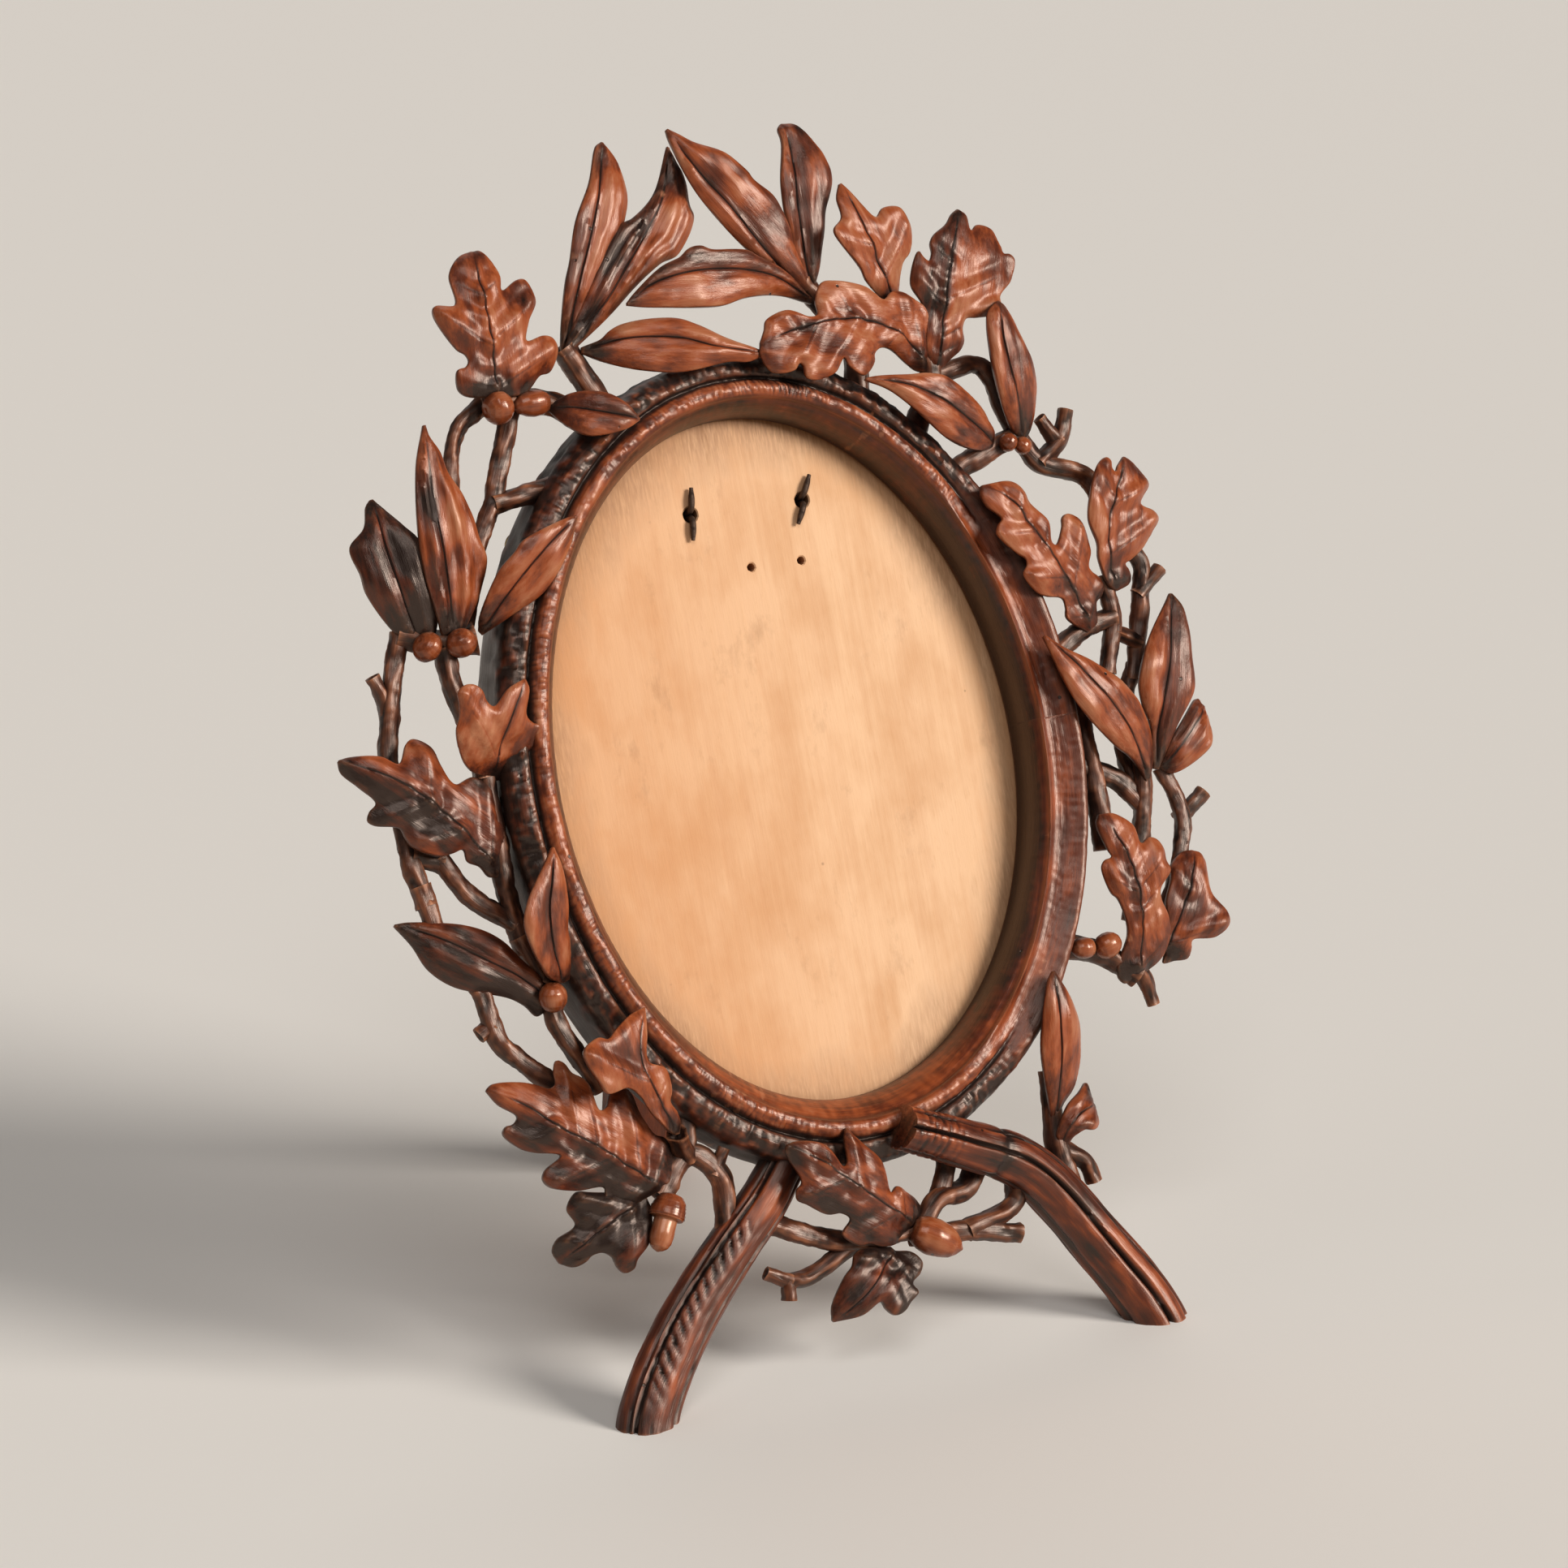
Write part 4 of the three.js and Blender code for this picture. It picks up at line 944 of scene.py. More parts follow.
@dataclass(frozen=True)
class Twig:
    """A cut twig with rough bark and a hollowed end."""

    path: tuple[Place, ...]
    rise: Span
    radius: Span
    sides: int = 22
    bark: float = 0.42
    step: float = 0.5
    fewest: int = 10

    def build(self, seed: int) -> Shape:
        """The twig as a closed shape.

        Args:
            seed: moves the bark.

        Returns:
            The shape, laid flat.
        """
        flat = np.array([FLAT.on_wreath(place) for place in self.path])
        points = np.column_stack([flat, np.linspace(*self.rise, len(flat))])
        run = np.linalg.norm(np.diff(points, axis=0), axis=1).sum()
        count = max(int(run / self.step), self.fewest)
        radius = np.linspace(*self.radius, count)
        stick = Sweep(smooth_path(points, count), np.column_stack([radius, radius]), self.sides, self.bark)
        return stick.build(seed)


@dataclass(frozen=True)
class Sweep:
    """A round stick along a line, with bark, knots and hollowed ends."""

    line: np.ndarray
    halves: np.ndarray
    sides: int
    bark: float = 0.0
    cup: tuple[Span, ...] = ((0.78, 0.05), (0.5, 0.55), (0.22, 0.75))
    cup_tone: float = 0.32

    @property
    def angle(self) -> np.ndarray:
        """Angles round the stick."""
        return np.linspace(0, 2 * math.pi, self.sides, endpoint=False)[None, :]

    def build(self, seed: int) -> Shape:
        """The stick as a closed shape.

        Args:
            seed: moves the bark and the knots.

        Returns:
            The shape, laid flat.
        """
        aside, up, run = self.guide()
        grain = self.fibres(47.0 * seed)
        rough = wave_noise(grain, (0.22, 0.75, 0.75), seed)
        fine = wave_noise(grain, (0.8, 1.9, 1.9), seed + 9)
        ends = bump(run, 0, 1.1) + bump(run, float(run[-1, 0]), 1.1)
        grow = 1 + 0.06 * np.cos(3 * self.angle + seed) + 0.12 * ends
        knots = 0.16 * np.maximum(wave_noise(grain, (0.3, 0.3, 0.3), seed + 4), 0)
        stretch = grow + knots + (self.bark * rough + 0.4 * self.bark * fine) / self.halves.mean()
        offset = self.skin(stretch)
        tone = PLAIN + 0.30 * rough + 0.15 * fine - 0.1
        cups = []
        for end, sign in ((0, 1), (-1, -1)):
            tangent = sign * np.cross(aside[end], up[end])
            rims = []
            for size, depth in self.cup:
                rim = self.line[end] + offset[end] * size + tangent * depth * self.halves[end].mean()
                rims.append((rim, grain[end], np.full(self.sides, self.cup_tone)))
            cups.append(rims)
        rows = []
        for part, main in enumerate((self.line[:, None] + offset, grain, tone)):
            first = [rim[part][None] for rim in cups[0][::-1]]
            last = [rim[part][None] for rim in cups[1]]
            rows.append(np.concatenate([*first, main, *last]))
        return Shape.loft(*rows)

    def fibres(self, shift: float) -> np.ndarray:
        """Fibre coordinates of the plain stick.

        Args:
            shift: millimetres along the fibres.

        Returns:
            Along and across, stations by sides.
        """
        wide = np.cos(self.angle) * self.halves[:, :1]
        high = np.sin(self.angle) * self.halves[:, 1:]
        return np.stack([self.guide()[2] + 0 * self.angle, wide, high], -1) + np.array([shift, 0, 0])

    def skin(self, stretch: np.ndarray) -> np.ndarray:
        """From the line out to the surface.

        Args:
            stretch: share of the plain thickness, stations by sides.

        Returns:
            The steps from the line in u, v, w.
        """
        aside, up, _ = self.guide()
        offset = aside[:, None] * (np.cos(self.angle) * self.halves[:, :1] * stretch)[..., None]
        return offset + up[:, None] * (np.sin(self.angle) * self.halves[:, 1:] * stretch)[..., None]

    def guide(self) -> tuple[np.ndarray, np.ndarray, np.ndarray]:
        """How the line runs.

        Returns:
            The directions to its side and out of it, and the run so far, at each sample.
        """
        tangent = np.gradient(self.line, axis=0)
        tangent /= np.linalg.norm(tangent, axis=1, keepdims=True)
        aside = np.cross(np.array([0.0, 0.0, 1.0]), tangent)
        aside /= np.linalg.norm(aside, axis=1, keepdims=True)
        steps = np.linalg.norm(np.diff(self.line, axis=0), axis=1)
        run = np.concatenate([[0], np.cumsum(steps)])[:, None]
        return aside, np.cross(tangent, aside), run


class FruitKind(Enum):
    """The carved fruit: outlines as (share of the length, share of the radius)."""

    BERRY = (
        (0.0, 0.30), (0.03, 0.42), (0.12, 0.70), (0.28, 0.93), (0.48, 1.0), (0.68, 0.93), (0.85, 0.70),
        (0.95, 0.42), (0.97, 0.20), (0.955, 0.06),
    )
    BUD = (
        (0.0, 0.45), (0.06, 0.72), (0.2, 0.92), (0.42, 1.0), (0.62, 0.92), (0.8, 0.70), (0.92, 0.40),
        (1.0, 0.06),
    )
    ACORN = (
        (0.0, 0.34), (0.03, 0.62), (0.12, 0.88), (0.25, 1.0), (0.37, 1.03), (0.42, 0.99), (0.43, 0.80),
        (0.45, 0.68), (0.55, 0.70), (0.70, 0.71), (0.83, 0.66), (0.92, 0.52), (0.97, 0.30), (1.0, 0.06),
    )


@dataclass(frozen=True)
class Fruit:
    """A berry, bud or acorn on its stalk."""

    kind: FruitKind
    start: Place
    finish: Place
    rise: Span
    radius: float
    segments: int = 26

    def build(self, seed: int) -> Shape:
        """The fruit as a closed shape.

        Args:
            seed: moves its small unevenness.

        Returns:
            The shape, laid flat.
        """
        ends = [np.array([*FLAT.on_wreath(p), h]) for p, h in zip((self.start, self.finish), self.rise)]
        axis = ends[1] - ends[0]
        length = float(np.linalg.norm(axis))
        axis /= length
        aside = np.cross([0.0, 0.0, 1.0], axis)
        aside = aside / np.linalg.norm(aside) if np.linalg.norm(aside) > 0.05 else np.array([1.0, 0, 0])
        up = np.cross(axis, aside)
        keys = np.array(self.kind.value)
        steps = np.linspace(0, len(keys) - 1, 5 * len(keys) - 4)
        along = np.interp(steps, range(len(keys)), keys[:, 0])[:, None]
        wide = np.interp(steps, range(len(keys)), keys[:, 1])[:, None] * self.radius
        wide = np.convolve(np.pad(wide[:, 0], 1, mode="edge"), [0.25, 0.5, 0.25], "valid")[:, None]
        turn = np.linspace(0, 2 * math.pi, self.segments, endpoint=False)[None, :]
        depth = along * length + 0 * turn
        grain = np.stack([depth + 31 * seed, wide * np.cos(turn), wide * np.sin(turn)], -1)
        uneven = 1 + 0.05 * wave_noise(grain, (0.35, 0.35, 0.35), seed)
        tone = 0.68 + 0.2 * wave_noise(grain, (0.4, 0.4, 0.4), seed + 2)
        if self.kind is FruitKind.ACORN:
            scales = np.abs(np.sin(turn * 7 + along * 40)) * np.abs(np.sin(along * 55))
            cup = ease(-along, -0.42, -0.40)
            uneven = uneven + 0.06 * cup * scales
            tone = tone - 0.12 * cup + 0.18 * (1 - cup)
        points = ends[0] + axis * depth[..., None]
        points = points + aside * (wide * uneven * np.cos(turn))[..., None]
        points = points + up * (wide * uneven * np.sin(turn))[..., None]
        return Shape.loft(points, grain, tone)


@dataclass(frozen=True)
class Spray:
    """One carved spray: its leaves, twigs and fruit."""

    name: str
    leaves: tuple[Leaf, ...]
    twigs: tuple[Twig, ...]
    fruit: tuple[Fruit, ...] = ()

    def make(self, leaf: Maker, twig: Maker, fruit: Maker, seed: int) -> None:
        """Build the spray's pieces.

        Args:
            leaf: makes the leaves.
            twig: makes the twigs, which stand for the spray's solid.
            fruit: makes the fruit.
            seed: moves the unevenness of its carving.
        """
        for number, one in enumerate(self.leaves, 1):
            leaf.add(f"{self.name}_leaf_{number}", one.build(seed + number), sharp=55)
        stems = [one.build(seed + 11 * number) for number, one in enumerate(self.twigs, 1)]
        twig.add(f"{self.name}_twigs", Shape.joined(stems), (f"{self.name}_spray",), sharp=60)
        if self.fruit:
            fruits = [one.build(seed + number) for number, one in enumerate(self.fruit, 1)]
            fruit.add(f"{self.name}_fruit", Shape.joined(fruits), sharp=50)


CREST_LEFT_LEAVES = (
    LaurelLeaf(
        base=(-20.6, 13.8), tip=(-7.3, 47), rise=(8.5, 9), fold=(-0.32, 0.08), stain_and_shade=(0.08, 0.14),
        tone=0.46, ridges=0.16,
        rib=((14.6, 0.5), (27.4, -0.1), (36.1, -0.1)),
        left=((5.3, 2), (13.1, 3.2), (17.2, 3.2), (25.6, 3.6), (34.5, 1.9), (42.7, 1.3)),
        right=((22.9, -4.9), (26.2, -6.3), (33, -6.9), (40.1, -4.2)),
    ),
    LaurelLeaf(
        base=(-20.7, 13.6), tip=(-1.1, 43.2), rise=(10, 9), fold=(0.18, 0.06), stain_and_shade=(-0.14, 0.14),
        ridges=0.34,
        rib=((13.2, -1.8), (23, -2.4), (32.1, -2.9), (39, -2.7)),
        left=((8.3, 1.8), (19.7, 2.9), (28.5, 2.2), (31.2, 0.6), (38, -1.2)),
        right=((10.9, -4.1), (17.9, -5.8), (25.8, -8.5), (29.7, -11), (38.4, -10.6), (40.1, -9),
            (44.9, -5.9)),
    ),
    LaurelLeaf(
        base=(-18.9, 12.2), tip=(4.7, -1.2), rise=(11, 17.5), fold=(0.06, -0.06), stain_and_shade=(0.14, 0.08),
        tone=0.56,
        rib=((6.5, 1.7), (12.6, 2.3), (18.9, 2), (25.3, 0.6)),
        left=((3.5, 2.1), (5.1, 3.7), (7.4, 5), (16.8, 6.3), (22, 5.1), (27.2, 2.9)),
        right=((4.2, -2.5), (11, -4.3), (18.8, -4.6), (28.8, -2.1), (32.6, -1.9)),
    ),
)
CREST_LEFT = Spray(
    "crest_left", CREST_LEFT_LEAVES,
    twigs=(
        Twig(((-20.5, 15), (-20, 9.5), (-19, -2)), (9.5, 8), (2.3, 2.6)),
    ),
)

UPPER_LEFT_LEAVES = (
    OakLeaf(
        base=(-32.3, 18.4), tip=(-24.2, 41.1), rise=(13, 11), fold=(0.08, 0.11), stain_and_shade=(0, 0.14),
        rib=((7.7, 0.4), (14.1, 0.5), (20.8, 0.5), (25.9, 0.4)),
        left=((0.9, 6.4), (2.3, 7.8), (5.8, 7.6), (6.3, 5.9), (7.3, 5.2), (8.6, 5.7), (9.8, 7.3),
            (16.8, 10.9), (18.6, 10.4), (18.6, 6.2), (24.8, 5.9), (28.5, 3)),
        right=((0.6, -6.4), (3.7, -9.8), (4.3, -12), (8.6, -13.8), (10.7, -13), (11.3, -11), (10.5, -7.3),
            (14.2, -8.4), (18.5, -10.9), (22.9, -9.5), (22.9, -7.7), (21, -4.2), (24, -4.5), (28.1, -3.1),
            (29.6, -1.6)),
    ),
    LaurelLeaf(
        base=(-27, 8.5), tip=(-18.1, -5.3), rise=(11, 18), fold=(-0.01, -0.11), stain_and_shade=(0, 0.08),
        rib=((3.6, 0.1), (7.8, -0.2)),
        left=((3, 3.1), (9.3, 3.8), (12.6, 2.7)),
        right=((3.5, -4), (6.7, -5.3), (13.4, -2.9)),
    ),
)
UPPER_LEFT = Spray(
    "upper_left", UPPER_LEFT_LEAVES,
    twigs=(
        Twig(((-34, 20), (-27, 10.5), (-22, -2)), (10, 9), (2.2, 2.5)),
        Twig(((-33, 19), (-37, 20.7), (-41, 19), (-48, 12.5)), (8, 7), (1.7, 1.5)),
        Twig(((-30, 14.2), (-37, 9.6), (-42, 7.5), (-48, 7.2), (-63, 6)), (7.5, 7.5), (1.9, 1.7)),
        Twig(((-42, 7.5), (-37, 2), (-33, -2.5)), (8, 8), (1.8, 2.2)),
    ),
    fruit=(
        Fruit(FruitKind.BERRY, (-31.2, 15.2), (-34.6, 18.9), (12, 13), 3.5),
        Fruit(FruitKind.BUD, (-26.5, 9.5), (-31.2, 14.8), (11, 12), 2.7),
    ),
)

CREST_MIDDLE_LEAVES = (
    LaurelLeaf(
        base=(14, 13.4), tip=(-1.8, 45.9), rise=(9, 13.5), fold=(-0.11, -0.05), stain_and_shade=(0.14, 0), tone=0.52,
        rib=((12.8, 1.9), (24, 2), (32.5, 1.9), (39.9, 1.4)),
        left=((1.7, 0.4), (10.5, 2.2), (12.8, 3.4), (18.2, 5), (32.2, 5.1), (43.4, 1.5)),
        right=((15.1, -5.7), (21.1, -7.1), (26.5, -6), (28.3, -6.2), (34.2, -5.2), (40.6, -1.9)),
    ),
    LaurelLeaf(
        base=(13.6, 13.2), tip=(-12.5, 15), rise=(10, 17), fold=(-0.05, -0.14), stain_and_shade=(0.14, -0.14),
        tone=0.52,
        rib=((9.4, -4.6), (18.9, -6), (28.2, -5.7), (37.3, -3.5)),
        left=((8.1, -0.9), (16.3, -0.3), (23.1, 1.4), (38, 0.9)),
        right=((7, -6.2), (12.5, -8.6), (15.2, -9.8), (23.7, -10), (25.8, -10.7), (28.2, -10.4),
            (30.3, -8.8), (34.6, -7), (40.9, -2)),
    ),
    LaurelLeaf(
        base=(14.2, 13.9), tip=(10.3, 48.6), rise=(9, 9), fold=(-0.34, -0.08), stain_and_shade=(0.08, 0), tone=0.46,
        ridges=0.16,
        rib=((6.4, 1.3), (12.9, 1.7), (19.5, 1.4), (26.2, 0.6), (32.3, -0.1)),
        left=((11.6, 4.2), (23.2, 4.2), (32.5, 1.4), (35.2, 1.3)),
        right=((3.1, -0.7), (5.4, -1.5), (16.5, -4.5), (25.3, -7.5), (35.7, -3.1)),
    ),
)
CREST_MIDDLE = Spray(
    "crest_middle", CREST_MIDDLE_LEAVES,
    twigs=(
        Twig(((12.5, 17), (16, 13.2), (20, 8.9), (23, -2)), (9, 8), (2.2, 2.4)),
    ),
)

CREST_RIGHT_LEAVES = (
    OakLeaf(
        base=(24.2, 19.3), tip=(15.4, 37.5), rise=(10.5, 14), fold=(-0.32, 0.12), stain_and_shade=(0.08, 0.14),
        tone=0.58,
        rib=((7.9, 0.9), (14.9, 0.8), (20.7, 0.7)),
        left=((1.9, 2.4), (6.8, 5.2), (9.1, 5.4), (18.4, 7.8), (20.2, 4.3), (24, 2.8)),
        right=((1.4, -2), (6.4, -5), (7.9, -7.6), (12.2, -9.9), (16.7, -9.4), (18.2, -5.9), (17.2, -3.3),
            (20.4, -2.1)),
    ),
    OakLeaf(
        base=(32.3, 12.5), tip=(28.8, 45.3), rise=(10, 10), fold=(0.08, 0.09), stain_and_shade=(0, 0.14), tone=0.46,
        ridges=0.16,
        rib=((6.9, 0.8), (14.3, 1.4), (23, 1.3)),
        left=((3.1, 3), (12, 5.5), (16, 8.9), (23.2, 8.1), (22, 6.9), (21.6, 5.7), (23.3, 5.3), (25.3, 5.8),
            (27.4, 5.2), (30.6, 2.6), (33.2, 1.4)),
        right=((3.3, -2.8), (5.4, -4.4), (7.4, -4.8), (9.7, -3.9), (11.8, -4.2), (12.8, -6.9),
            (14.3, -10.3), (16.4, -11.7), (18.3, -11), (22.6, -13.4), (27.3, -13.8), (28.2, -12.6),
            (27.9, -11), (29.4, -10.4), (32.4, -8.2), (32.5, -4.6), (30.9, -3.3), (33.9, -1.9)),
    ),
    OakLeaf(
        base=(31.2, 11.9), tip=(3.6, 0.4), rise=(9.5, 19), fold=(-0.06, 0.06), stain_and_shade=(0.08, 0.14),
        tone=0.55,
        rib=((6.5, -4.9), (15.2, -7.2), (25.1, -6.2), (33.6, -3.3)),
        left=((2.8, 0.6), (5.5, -0.4), (10.6, -2.5), (12.7, -2.3), (14.2, -0.9), (14.3, 0.9), (17.2, 4.1),
            (20.8, 2.6), (22, 1.1), (24.2, 4.4), (28.9, 6.4), (30.8, 5.9), (31.4, 3.7), (32.2, 3.3),
            (33.5, 4.9), (38, 5.4), (40.4, 2)),
        right=((-0.9, -2.8), (-0.3, -6.1), (1.5, -12), (4.1, -13.4), (7.1, -14.6), (9.9, -14.2),
            (12, -12.3), (16.8, -14.2), (23.7, -14.6), (26.5, -14), (28.1, -9.9), (27.7, -7.3),
            (29.6, -6.6), (34.6, -7.4), (39, -5), (39.5, -2.8)),
    ),
)
CREST_RIGHT = Spray(
    "crest_right", CREST_RIGHT_LEAVES,
    twigs=(
        Twig(((23, 21), (29, 16), (32, 12), (33, -2)), (10, 8.5), (1.8, 2.5)),
    ),
)

RIGHT_SHOULDER_LEAVES = (
    LaurelLeaf(
        base=(44.4, 9.7), tip=(20.2, -1.2), rise=(11, 18.5), fold=(-0.09, 0.09), stain_and_shade=(0.14, 0.14),
        tone=0.54,
        rib=((8.9, -1.5), (17.8, -2.4), (25.5, -1.8)),
        left=((1.5, 1.9), (6.2, 3.9), (12.2, 4.4), (27.7, 0.3)),
        right=((0.7, -2.5), (3.1, -3.8), (5.2, -5.1), (15.3, -7.3), (20.7, -6.2), (24.2, -4.5),
            (30.9, -1.5)),
    ),
    LaurelLeaf(
        base=(47.7, 16.2), tip=(35.5, 31.9), rise=(9.5, 14.5), fold=(-0.11, 0.34), stain_and_shade=(0.14, 0.08),
        rib=((8.3, 0.9), (15.8, 1.7), (21.7, 1.7)),
        left=((2.7, 2.7), (9.9, 4.9), (17.3, 5.3), (25.9, 3.4)),
        right=((0.8, -2), (8.9, -5.1), (13.8, -5.1), (19.4, -3.6), (27.2, -1.6)),
    ),
)
RIGHT_SHOULDER = Spray(
    "right_shoulder", RIGHT_SHOULDER_LEAVES,
    twigs=(
        Twig(((33, 13), (38, 21.5), (46, 17.5), (52, 17.6), (58, 25), (64, 25)), (7.5, 7), (1.8, 2)),
        Twig(((52, 17.6), (52, 24), (50, 29)), (7, 9), (2, 1.5)),
        Twig(((52, 23.5), (48, 23)), (8, 9), (1.6, 1.2)),
        Twig(((47, 17), (44, 7), (41, -2)), (8.5, 9), (2, 2.4)),
    ),
    fruit=(
        Fruit(FruitKind.BERRY, (46, 10.8), (46, 14.2), (10.5, 12.5), 1.9),
        Fruit(FruitKind.BERRY, (48, 13.2), (48, 16.2), (10.5, 12.5), 1.9),
    ),
)

RIGHT_UPPER_LEAVES = (
    OakLeaf(
        base=(76.6, 9.1), tip=(44.9, -2.1), rise=(10.5, 18), fold=(-0.11, 0.28), stain_and_shade=(0.14, 0.08),
        tone=0.54,
        rib=((7.8, -1.1), (14.7, -1.6), (20.8, -1.9), (27.2, -2.1), (32.8, -2.2)),
        left=((6, 3.4), (7.9, 2.2), (9.7, 1.9), (12.6, 4.7), (14.8, 6), (19.7, 6), (20.4, 4.1), (21.4, 3.5),
            (23.8, 4.3), (29.6, 4.9), (30.6, 3.3), (30.9, 1.9), (34.6, 2.3), (36.9, 1.7)),
        right=((-0.2, -2.4), (3.1, -5), (3.1, -6.8), (4.1, -8.8), (5.9, -9.2), (9.5, -7.9), (11.6, -10.9),
            (13.5, -11.9), (18.3, -13.3), (21.1, -11.3), (21.1, -9.8), (20, -8.6), (18.5, -4.5),
            (19.6, -4.1), (23.2, -6.5), (28.9, -5.8), (31, -6.5), (34.3, -6)),
    ),
    OakLeaf(
        base=(72.8, 18.2), tip=(59, 33), rise=(9.5, 11), fold=(-0.33, 0.33), stain_and_shade=(0.08, 0.08), tone=0.57,
        rib=((5.7, 2.9), (12.1, 4.3), (18.1, 3.2), (22.6, 1.7)),
        left=((0.7, 2.3), (5.4, 5.8), (8.2, 6.4), (13.2, 9.3), (24.1, 7.7), (26.6, 5), (26, 3.8),
            (24.6, 3.5), (24, 2.6), (25.3, 2)),
        right=((2, -3.6), (3.3, -4), (4.8, -3.1), (5.8, -1.9), (6.7, -3.1), (9.8, -6.1), (13.4, -7.9),
            (16.5, -9.5), (17.7, -8.3), (18.6, -4.3), (23.1, -6.8), (24.3, -6.5), (27.4, -1.6)),
    ),
)
RIGHT_UPPER = Spray(
    "right_upper", RIGHT_UPPER_LEAVES,
    twigs=(
        Twig(((70, 17), (76, 16.5), (84, 12)), (8.5, 7), (1.8, 1.7)),
        Twig(((66, 24), (71, 27.2), (76, 24.5), (86, 18.8)), (8, 5), (1.7, 1.8)),
        Twig(((75, 24.4), (73, 31)), (6.5, 7.5), (1.6, 1.4)),
        Twig(((78, 15.5), (81, 21.5)), (7, 6), (1.6, 1.6)),
        Twig(((76, 16.5), (76, 8), (79, -2)), (8, 9), (1.9, 2.3)),
    ),
)

RIGHT_MIDDLE_LEAVES = (
    LaurelLeaf(
        base=(101.4, 15.6), tip=(73.7, -5.3), rise=(10, 18), fold=(-0.11, 0.28), stain_and_shade=(0.14, 0.08),
        rib=((9.8, -1.7), (17.6, -2), (25.6, -1.4), (32.8, -0.7)),
        left=((3.2, 0.3), (7.7, 1.2), (10.3, 2.3), (20.4, 4.2), (27.8, 3.6)),
        right=((3, -4.4), (12.8, -8.3), (23.7, -6.5), (32.7, -2)),
    ),
    LaurelLeaf(
        base=(99.5, 18.3), tip=(76.4, 29.8), rise=(9, 10), fold=(-0.09, -0.08), stain_and_shade=(0.14, 0),
        rib=((7.6, 1.4), (14.2, 1.2), (20.2, 0.7), (27.1, 0.5)),
        left=((2.6, 1.8), (8.2, 3.1), (12.3, 5.7), (16.8, 7.1), (25.5, 5.5)),
        right=((8.7, -2.6), (16.6, -5.3), (21.9, -4.8), (33.7, -2.6)),
    ),
    LaurelLeaf(
        base=(99.3, 20), tip=(91.2, 31.6), rise=(8, 8), fold=(0.07, 0.04), stain_and_shade=(0, 0.14), ridges=0.4,
        cuts=2,
        rib=((4.2, 0.2), (9, 0.3)),
        left=((3, 1.8), (6.5, 2.6), (17.1, 1.9)),
        right=((0.8, -2.7), (9.1, -5.3), (11.4, -4.8)),
    ),
)
RIGHT_MIDDLE = Spray(
    "right_middle", RIGHT_MIDDLE_LEAVES,
    twigs=(
        Twig(((97, 15.5), (105, 15.2), (110, 15), (122, 15)), (9, 7), (1.9, 1.9)),
        Twig(((105, 15.5), (101, 9.3), (98, -2)), (8, 7), (1.9, 2.2)),
        Twig(((84, 20), (88, 15.9), (97, 13), (104, 16)), (4.5, 7), (1.7, 1.8)),
        Twig(((84, 6), (92, 3.8), (102, 4.6), (113, 7)), (7, 8.5), (1.8, 2.4)),
    ),
)

RIGHT_LOWER_LEAVES = (
    OakLeaf(
        base=(129.6, 17.4), tip=(108.4, 2.5), rise=(10, 14), fold=(0.08, 0.11), stain_and_shade=(0, 0.14), tone=0.48,
        rib=((8.5, -2), (15, -2.8), (20.8, -3), (26.7, -2)),
        left=((-0.5, 2.7), (2.5, 4), (9.5, 0.7), (16.4, 1.5), (18, 2.6), (23.4, 3.2), (24.7, 2.1),
            (25, 0.4), (26.4, 0.8), (32.1, 1.4)),
        right=((2.5, -6.4), (6.8, -9), (10.1, -9.1), (15.7, -8.1), (19.2, -11.8), (21.3, -11.6),
            (23.7, -11.6), (25.8, -10.7), (26.7, -9), (26, -6.9), (30.1, -6.3), (33.3, -2.8)),
    ),
    OakLeaf(
        base=(124.2, 22.7), tip=(110.1, 26.4), rise=(8, 8.5), fold=(0.08, -0.08), tone=0.5,
        rib=((6.4, -0.1), (12.5, -0.2)),
        left=((6.4, 2.3), (9.1, 3.5), (14.3, 3.8), (16.7, 4.3), (20.8, 2.2)),
        right=((-2.2, -0.9), (-0.9, -3.2), (0.4, -5.5), (2.3, -5.4), (3.9, -4.7), (6.3, -9.3), (9.7, -11),
            (11.7, -10.1), (14.7, -5.3), (21, -3.1), (22.2, -1.8)),
    ),
)
RIGHT_LOWER = Spray(
    "right_lower", RIGHT_LOWER_LEAVES,
    twigs=(
        Twig(((129, 18), (129, 9.4), (132, -2)), (9, 9), (2.2, 2.6)),
        Twig(((128, 17), (129, 20.2), (131, 23.7)), (9, 8), (2.1, 1.2)),
        Twig(((99, 21), (105, 25), (110, 24.7), (117, 23), (127, 17)), (6, 7.5), (1.6, 1.9)),
        Twig(((106, 25), (102, 30.3)), (5.5, 6.5), (1.7, 1.5)),
    ),
    fruit=(
        Fruit(FruitKind.BUD, (129.6, 5.4), (132.2, 0.6), (12, 12), 2.2),
        Fruit(FruitKind.BERRY, (130, 6.2), (126.4, 10.6), (11.6, 12.6), 2.7),
    ),
)

RIGHT_LEG_LEAVES = (
    LaurelLeaf(
        base=(152.3, 15), tip=(138.8, -4.2), rise=(8.5, 17.5), fold=(-0.1, 0.34), stain_and_shade=(0.14, 0.08),
        rib=((7.1, 0.1), (13.4, 0.2), (19.8, 0.4), (25.5, 0.4)),
        left=((13.9, 4.3), (20.2, 3.9), (28.1, 1.7)),
        right=((3.4, -1.7), (7.4, -4.5), (18.3, -5.3), (23, -4.1)),
    ),
    OakLeaf(
        base=(153.5, 19), tip=(146.7, 19.4), rise=(9, 10), fold=(0.07, -0.07), ridges=0.3,
        rib=((2.7, 2.1), (6.7, 2.3)),
        left=((0.9, 2.8), (6.1, 5), (10.2, 4.6), (13.7, 3.8)),
        right=((1, -1), (2.9, -0.3), (4.9, -0.7), (6.4, -2.4), (8.7, -2.8)),
    ),
)
